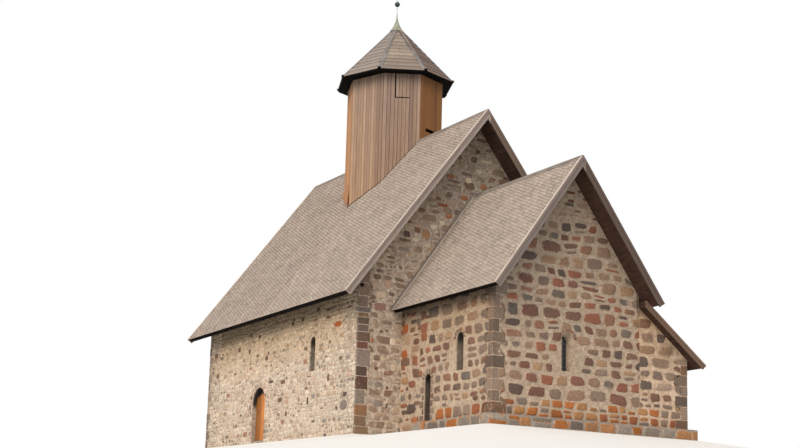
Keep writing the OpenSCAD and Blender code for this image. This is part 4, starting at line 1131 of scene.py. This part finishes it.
def uprightBoards(a, b, left, right, foot, head, palette, flare=0.0):
    # boards on a wall from corner a to corner b: left and right are distances along it from its
    # middle, foot is (n, 2) heights at both lower corners, head their top; flare pushes the foot out
    middle = (a + b) / 2
    along = np.array([*(b - a) / np.linalg.norm(b - a), 0.0])
    out = np.cross(along, (0, 0, 1))
    slack, edge = boards["slack"], boards["edge"]
    thick = random.uniform(*boards["turretThickness"], (len(left), 1))
    height = np.stack([foot[:, 0], foot[:, 1], head, head], axis=1)[..., None] * np.array([0, 0, 1.0])
    height = height + (np.array([flare, flare, 0, 0])[:, None] * out)[None]
    base = np.array([*middle, 0.0]) + height
    low, high = left + slack, right - slack
    rim = base + np.stack([low, high, high, low], axis=1)[..., None] * along
    face = base + np.stack([low + edge, high - edge, high - edge, low + edge], axis=1)[..., None] * along
    rings = np.stack([rim - edge * out, rim + (thick - edge)[..., None] * out, face + thick[..., None] * out],
                     axis=1)
    return *stackedRings(rings), tintRings(pickTints(palette, len(left), 0.06), 1.0, 12)


def boardJoints(low, high):
    # joints between boards of about the usual width, from low to high
    count = max(1, round((high - low) / boards["turretWidth"]))
    stray = random.uniform(-boards["stray"], boards["stray"], count - 1)
    return np.concatenate([[low], np.linspace(low, high, count + 1)[1:-1] + stray, [high]])


def turretFace(i):
    # both corners and half the width of one face of the boarded walls
    a, b = octagonCorner(i, turretWallReach), octagonCorner(i + 1, turretWallReach)
    return a, b, np.linalg.norm(b - a) / 2


def footLine(a, b, u):
    # height of the nave's roof under places u along the wall from a to b, with the open joint
    y = (a[1] + b[1]) / 2 + u * (b[1] - a[1]) / np.linalg.norm(b - a)
    return naveRoof["ridgeZ"] - np.abs(y) * naveRoof["fall"] + boards["turretFoot"]


def turretFaceBoards(i, palette, gap=None):
    # the boards of one face stand on the roof's slope and stop under the soffit; a gap (from, to,
    # low, high) cuts them for a hatch or a slot
    a, b, half = turretFace(i)
    stops = [-half, half] if gap is None else [-half, gap[0], gap[1], half]
    joints = np.concatenate([boardJoints(*pair)[:-1] for pair in zip(stops, stops[1:])] + [[half]])
    left, right = joints[:-1], joints[1:]
    foot = np.stack([footLine(a, b, left), footLine(a, b, right)], axis=1)
    head = np.full(len(left), turretSoffit - boards["headJoint"])
    parts = []
    if gap is not None:
        cut = (left > gap[0] - 0.01) & (right < gap[1] + 0.01)
        if gap[3] < turretSoffit - 0.05:
            above = np.full((cut.sum(), 2), gap[3])
            parts.append(uprightBoards(a, b, left[cut], right[cut], above, head[cut], palette))
        head[cut] = gap[2]
    return parts + [uprightBoards(a, b, left, right, foot, head, palette)]


# the hatch and the slot as the CAD cuts them: along the face from its middle, and heights
hatch = {"from": -0.3, "to": 0.325, "sill": 14.655, "joint": 0.045}
slot = {"from": -0.39, "to": 0.22, "sill": 13.335, "head": 13.48}
gaps = {7: (hatch["from"], hatch["to"], hatch["sill"], turretSoffit), 0: tuple(slot.values())}
# which palette each wall face takes, by how it is lit: painted light and shade
wallFaces = ["shade", "shade", "shade", "west", "west", "west", "south", "east"]


def hatchBoards():
    # the hatch's own boards, with an open joint at their foot and their left edge
    a, b = turretFace(7)[:2]
    joints = boardJoints(hatch["from"] + hatch["joint"], hatch["to"])
    foot = np.full((len(joints) - 1, 2), hatch["sill"] + hatch["joint"])
    head = np.full(len(foot), turretSoffit - boards["headJoint"])
    return uprightBoards(a, b, joints[:-1], joints[1:], foot, head, turretFaceTints["east"])


def footApron(i):
    # a flared board over the joint at the foot of one wall, leaning out
    a, b, half = turretFace(i)
    edges = np.array([[-half, half]])
    low = footLine(a, b, edges)
    return uprightBoards(a, b, edges[:, 0], edges[:, 1], low - boards["apronLow"],
                         low.max(axis=1) + boards["apronHigh"], turretFaceTints[wallFaces[i]],
                         flare=boards["flare"])


turretMaterial = buildTurretMaterial()
walling = [turretFaceBoards(i, turretFaceTints[wallFaces[i]], gaps.get(i)) for i in range(8)]
addPiece("turret_boards", [part for face in walling for part in face] + [hatchBoards()], turretMaterial)
addPiece("turret_aprons", [footApron(i) for i in (5, 2)], turretMaterial)
# ends of the hip boards and of two beams: how far they reach out of the eaves' corner or the gable and
# back into it, half their width, and their heights, which are from the eaves for the hip boards
knobs = {"out": 0.045, "back": 0.1, "half": 0.06, "low": -0.02, "high": 0.06}
beams = {"out": 0.09, "back": 0.02, "half": 0.05, "y": (-4.8, 4.8), "low": 5.45, "high": 5.56}


def hipKnobs():
    # black ends of the hip boards: a small block at each corner of the eaves, turned to that corner
    turn = math.pi * np.arange(8) / 4
    corner = np.stack([turretReach[0] * np.cos(turn), turretReach[1] * np.sin(turn)], -1)
    outward = corner / np.linalg.norm(corner, axis=1, keepdims=True)
    side = knobs["half"] * np.stack([-outward[:, 1], outward[:, 0]], -1)
    back, front = corner - knobs["back"] * outward, corner + knobs["out"] * outward
    plan = np.stack([back - side, front - side, front + side, back + side], axis=1) + (turretX, 0)
    return prisms(plan, (turretEave + knobs["low"], turretEave + knobs["high"]))


def beamEnds():
    # the ends of two beams that stand out of the nave's east gable at its eaves
    half = beams["half"]
    return boxes(np.array([[naveEast - beams["back"], y - half, beams["low"]] for y in beams["y"]]),
                 np.array([[naveEast + beams["out"], y + half, beams["high"]] for y in beams["y"]]))


addPiece("turret_hip_ends", [hipKnobs()], nearBlackWood)
addPiece("gable_beam_ends", [beamEnds()], darkWood)
print("boards done")


# metal cap and finial

ball = {"height": 19.55, "radius": 0.125}


def buildCapMaterial():
    # sheet metal beaten over the point, dull, mottled between a green bloom and a yellowish grey
    material, add, place = startMaterial("capSheetMetalWeathered", {"Roughness": 0.55, "Metallic": 0.2})
    bloom = add("TexNoise", {"Vector": place, "Scale": 7.0, "Detail": 5.0, "Roughness": 0.55})
    return finish(material, add("ValToRGB", (bloom,), stops=[(0.35, "#727c70"), (0.65, "#aeac92")]))


def buildFinialMaterial():
    # painted iron: a pale rod and a dark green ball
    material, add, place = startMaterial("finialPaintedIron", {"Roughness": 0.4})
    apart = add("VectorMath", (place, (turretX, 0.0, ball["height"])), "Value", operation="DISTANCE")
    inside = add("Math", (apart, ball["radius"]), operation="LESS_THAN")
    paint = {0: inside, 6: hexColour("#b4bcc0"), 7: hexColour("#1f3330")}
    return finish(material, add("Mix", paint, **blend))


dressNodes(["turret_cap"], buildCapMaterial())
dressNodes(["finial"], buildFinialMaterial())


# doors, windows and floors


def buildDoorMaterial():
    # pine planks under orange oil: bright latewood lines on a warm ground; darker to the west as the
    # painted shadow of the jamb, and black under the arch as painted shade, along an edge that rises
    # eastwards
    material, add, place = startMaterial("doorPinePlanksOiled", {"Roughness": 0.5})
    along = add("Mapping", {"Vector": place, "Scale": (26.0, 26.0, 1.6)})
    grain = add("TexNoise", {"Vector": along, "Scale": 1.0, "Detail": 5.0, "Roughness": 0.55})
    parts = add("SeparateXYZ", (place,)).node.outputs
    x, z = parts["X"], parts["Z"]
    # painted shadow of the west jamb
    tone = add("MapRange", (x, doorX - 0.3, doorX + 0.02, 0.5, 1.0), **softEnds)
    # painted shade under the arch
    slant = add("Math", (x, -doorShade["slant"], z), operation="MULTIPLY_ADD")
    edge = doorShade["height"] - doorShade["slant"] * doorX
    shade = add("MapRange", (slant, edge - 0.07, edge + 0.03, 1.0, 0.03), **softEnds)
    colour = add("ValToRGB", (grain,), stops=[(0.32, "#8f4712"), (0.5, "#c67626"), (0.66, "#e29a43")])
    both = add("Math", (tone, shade), **times)
    skin = add("VectorMath", {0: colour, "Scale": both}, **scaling)
    return finish(material, skin, grain, 0.3, 0.004)


def doorPlanks(node, count, edge=0.007, slack=0.0012):
    # the leaf as upright planks with chamfered long edges: an eight-sided plan stacked in two rings
    low, high = np.array(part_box(node)[0]), np.array(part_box(node)[1])
    joints = np.linspace(low[0], high[0], count + 1)
    left, right = joints[:-1] + slack, joints[1:] - slack
    front, back = np.full(count, low[1]), np.full(count, high[1])
    plan = np.stack([np.stack(pair, -1) for pair in (
        (left + edge, front), (right - edge, front), (right, front + edge), (right, back - edge),
        (right - edge, back), (left + edge, back), (left, back - edge), (left, front + edge))], axis=1)
    return prisms(plan, (low[2], high[2]))


doorShade = {"height": 2.28, "slant": 0.22}     # the shade's edge at the door's middle, and its slope
planks = addPiece("nave_door_planks", [doorPlanks("nave_door", 6)], buildDoorMaterial(),
                  "nave_door_leaf")
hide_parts("nave_door")
narrow = addPiece("chancel_door_planks", [doorPlanks("chancel_door", 3)],
                  buildBoardMaterial("narrowDoorTarred", "#2c211a", "#54402f", (20.0, 20.0, 1.5)),
                  "chancel_door_leaf")
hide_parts("chancel_door")


def buildIronMaterial():
    # forged iron, blacked: dark and slightly rough
    material, add, place = startMaterial("forgedIronBlacked", {"Roughness": 0.5})
    rust = add("TexNoise", {"Vector": place, "Scale": 40.0, "Detail": 4.0, "Roughness": 0.55})
    return finish(material, add("ValToRGB", (rust,), stops=[(0.45, "#1d1b1a"), (0.8, "#4a3020")]))


def ringHandle(centre, radius, wire):
    # a torus that hangs against the leaf: points at radius + wire*cos(v) round the ring, wire*sin(v) out
    turns, sides = 24, 8
    u = 2 * math.pi * np.arange(turns)[:, None] / turns
    v = 2 * math.pi * np.arange(sides)[None] / sides
    reach = radius + wire * np.cos(v)
    points = np.stack([reach * np.cos(u), wire * np.sin(v) + 0 * u, reach * np.sin(u)], axis=-1) + centre
    here = np.arange(turns)[:, None] * sides + np.arange(sides)
    beside = np.roll(here, -1, axis=1)
    after = np.roll(here, -1, axis=0)
    faces = np.stack([here, beside, np.roll(beside, -1, axis=0), after], axis=-1).reshape(-1, 4)
    return points.reshape(-1, 3), [faces]


# the ring: its middle east of the door's middle, clear of the leaf and above the foot; then its size
ring = {"east": 0.42, "clear": 0.022, "height": 1.32, "radius": 0.055, "wire": 0.008}
ringPlace = np.array([doorX + ring["east"], span("nave_door", 1)[0] - ring["clear"], ring["height"]])
addPiece("nave_door_ring", [ringHandle(ringPlace, ring["radius"], ring["wire"])], buildIronMaterial(),
         "nave_door_leaf", smooth=True)


def buildGlassMaterial():
    # old clear glass over a dark room: nearly black as painted shade of the room behind, with a bluish gloss
    own = {"Roughness": 0.12, "Base Color": hexColour("#22272b")}
    material, add, place = startMaterial("oldClearGlass", own)
    waves = add("TexNoise", {"Vector": place, "Scale": 9.0, "Detail": 1.0, "Roughness": 0.55})
    return finish(material, None, waves, 0.15, 0.01)


def buildFlagMaterial():
    # worn floor flags about 600 by 450 mm with lime joints
    material, add, place = startMaterial("floorFlagsWorn", {"Roughness": 0.8})
    return finish(material, add("TexBrick", {
        "Vector": place, "Color1": hexColour("#8a8074"), "Color2": hexColour("#9b9082"),
        "Mortar": hexColour("#6e655a"), "Scale": 1.0, "Mortar Size": 0.012, "Brick Width": 0.6,
        "Row Height": 0.45}))


# lead strips: breadth, how far they stand out of the pane and lie in it, how many bars, how far the
# last bar lies over the springing, and how much of the width it has
cames = {"width": 0.012, "proud": 0.004, "sunk": 0.002, "rows": 7, "over": 0.06, "last": 0.85}


def leadCames(place, outX, outY, hole):
    # lead strips on the outer face of one pane: a middle upright and evenly spaced bars
    out, side = np.array([outX, outY], float), np.array([-outY, outX], float)
    low, high = hole["foot"], hole["spring"] + 2 * cames["over"]
    bars = np.linspace(low, hole["spring"] + cames["over"], cames["rows"] + 1)[1:]
    middles = np.concatenate([[(low + high) / 2], bars])
    tall = np.concatenate([[(high - low) / 2], np.full(len(bars), cames["width"] / 2)])
    wide = np.concatenate([[cames["width"] / 2], np.full(len(bars), throat["pane"])])
    wide[-1] *= cames["last"]
    near, far = place - cames["sunk"] * out, place + cames["proud"] * out
    left, right = -wide[:, None] * side, wide[:, None] * side
    corners = np.stack([near + left, far + left, near + right, far + right], axis=1)
    return boxes(np.concatenate([corners.min(axis=1), (middles - tall)[:, None]], axis=1),
                 np.concatenate([corners.max(axis=1), (middles + tall)[:, None]], axis=1))


dressNodes(["nave_window_panes", "chancel_window_panes"], buildGlassMaterial())
naveDepth, chancelDepth = naveHalf - throat["depth"], chancelHalf - throat["depth"]
addPiece("window_cames", [
    leadCames((naveWindowX, -naveDepth), 0, -1, southWindow),
    leadCames((naveWindowX, naveDepth), 0, 1, southWindow),
    leadCames((chancelWindowX, -chancelDepth), 0, -1, chancelWindow),
    leadCames((chancelEast - throat["depth"], 0.0), 1, 0, chancelWindow),
], buildBoardMaterial("windowLead", "#3c3f41", "#5b5f61", (4.0, 4.0, 4.0), 0.6))
dressNodes(["nave_floor", "chancel_floor"], buildFlagMaterial())
print("doors, windows and floors done")


# stage, light and camera

# the floor: its level edge round the building, how steeply it falls, how far it goes, and from where
# on the grid's lines lie ever further apart
stage = {"margin": 0.1, "fall": 0.16, "reach": 140.0, "near": 14.0, "step": 0.25, "colour": "#e9e7e2"}


def buildFloor():
    # a low mound that falls evenly from the building's outline, because the camera stands below the
    # walls' foot: height is minus the fall times the distance from the nearest of two rectangles
    wide = np.geomspace(stage["near"], stage["reach"], 16)
    fine = np.arange(1 - stage["near"], stage["near"] - 0.9, stage["step"])
    grid = np.concatenate([-wide[::-1], fine, wide])
    x, y = np.meshgrid(grid, grid, indexing="ij")

    def apart(x0, x1, y0, y1):
        beyond = np.stack([np.maximum(x0 - x, x - x1), np.maximum(y0 - y, y - y1)]).clip(0, None)
        return np.hypot(*beyond)

    near = np.minimum(apart(naveWest, naveEast, -naveHalf, naveHalf),
                      apart(naveEast, plinthEast, -plinthSouth, plinthNorth))
    height = -stage["fall"] * (near - stage["margin"]).clip(0, None)
    points = np.stack([x, y, height], axis=-1).reshape(-1, 3)
    side = len(grid)
    here = (np.arange(side - 1)[:, None] * side + np.arange(side - 1)).ravel()
    faces = np.stack([here, here + side, here + side + 1, here + 1], axis=1)
    mesh = bpy.data.meshes.new("studio_floor")
    mesh.from_pydata(points.tolist(), [], faces.tolist())
    mesh.update()
    own = {"Roughness": 0.9, "Base Color": hexColour(stage["colour"])}
    mesh.materials.append(startMaterial("paintedStudioFloor", own)[0])
    floor = bpy.data.objects.new("studio_floor", mesh)
    bpy.context.scene.collection.objects.link(floor)


def addSun(name, toward, strength, softness, colour):
    # a distant lamp that shines from the given direction
    lamp = bpy.data.lights.new(name, "SUN")
    lamp.energy = strength
    lamp.angle = math.radians(softness)
    lamp.color = hexColour(colour)[:3]
    lampObject = bpy.data.objects.new(name, lamp)
    bpy.context.scene.collection.objects.link(lampObject)
    lampObject.rotation_euler = Vector(toward).to_track_quat("Z", "Y").to_euler()


def buildLight():
    # a soft key from the south, a weak fill from the camera's side, and an even dome
    addSun("key", (0.6, -1.0, 1.0), 2.65, 45.0, "#fff6ea")
    addSun("fill", (1.0, -0.4, 0.4), 0.4, 60.0, "#f4f4ff")
    world = bpy.data.worlds.new("studio")
    bpy.context.scene.world = world
    world.use_nodes = True
    tree = world.node_tree
    tree.nodes.clear()
    rays = addNode(tree, "LightPath").node.outputs
    seen = rays["Is Camera Ray"]
    for kind in ("Is Glossy Ray", "Is Transmission Ray"):
        seen = addNode(tree, "Math", (seen, rays[kind]), operation="MAXIMUM")
    dome = addNode(tree, "Background", (hexColour("#e9edf5"), 0.55))
    backdrop = addNode(tree, "Background", ((1.0, 1.0, 1.0, 1.0), 1.0))
    addNode(tree, "OutputWorld", (addNode(tree, "MixShader", (seen, dome, backdrop)),))


camera = {"place": (57.2505, -32.196, -5.505), "yaw": 61.66, "pitch": 12.511, "roll": 1.648, "lens": 74.296}


def buildCamera():
    # the photograph's viewpoint: yaw to the left of north, pitch up, then a small roll
    yaw, pitch, roll = (math.radians(camera[key]) for key in ("yaw", "pitch", "roll"))
    forward = Vector((-math.sin(yaw) * math.cos(pitch), math.cos(yaw) * math.cos(pitch), math.sin(pitch)))
    level = Vector((math.cos(yaw), math.sin(yaw), 0))
    upright = level.cross(forward)
    right = math.cos(roll) * level + math.sin(roll) * upright
    up = -math.sin(roll) * level + math.cos(roll) * upright
    lens = bpy.data.cameras.new("photo_view")
    lens.sensor_width = 36
    lens.lens = camera["lens"]
    lens.clip_end = 400
    eye = bpy.data.objects.new("photo_view", lens)
    bpy.context.scene.collection.objects.link(eye)
    turn = Matrix((right, up, -forward)).transposed().to_4x4()
    eye.matrix_world = Matrix.Translation(camera["place"]) @ turn
    bpy.context.scene.camera = eye


buildFloor()
buildLight()
buildCamera()
bpy.context.scene.view_settings.view_transform = "Standard"
print("stage, light and camera done")
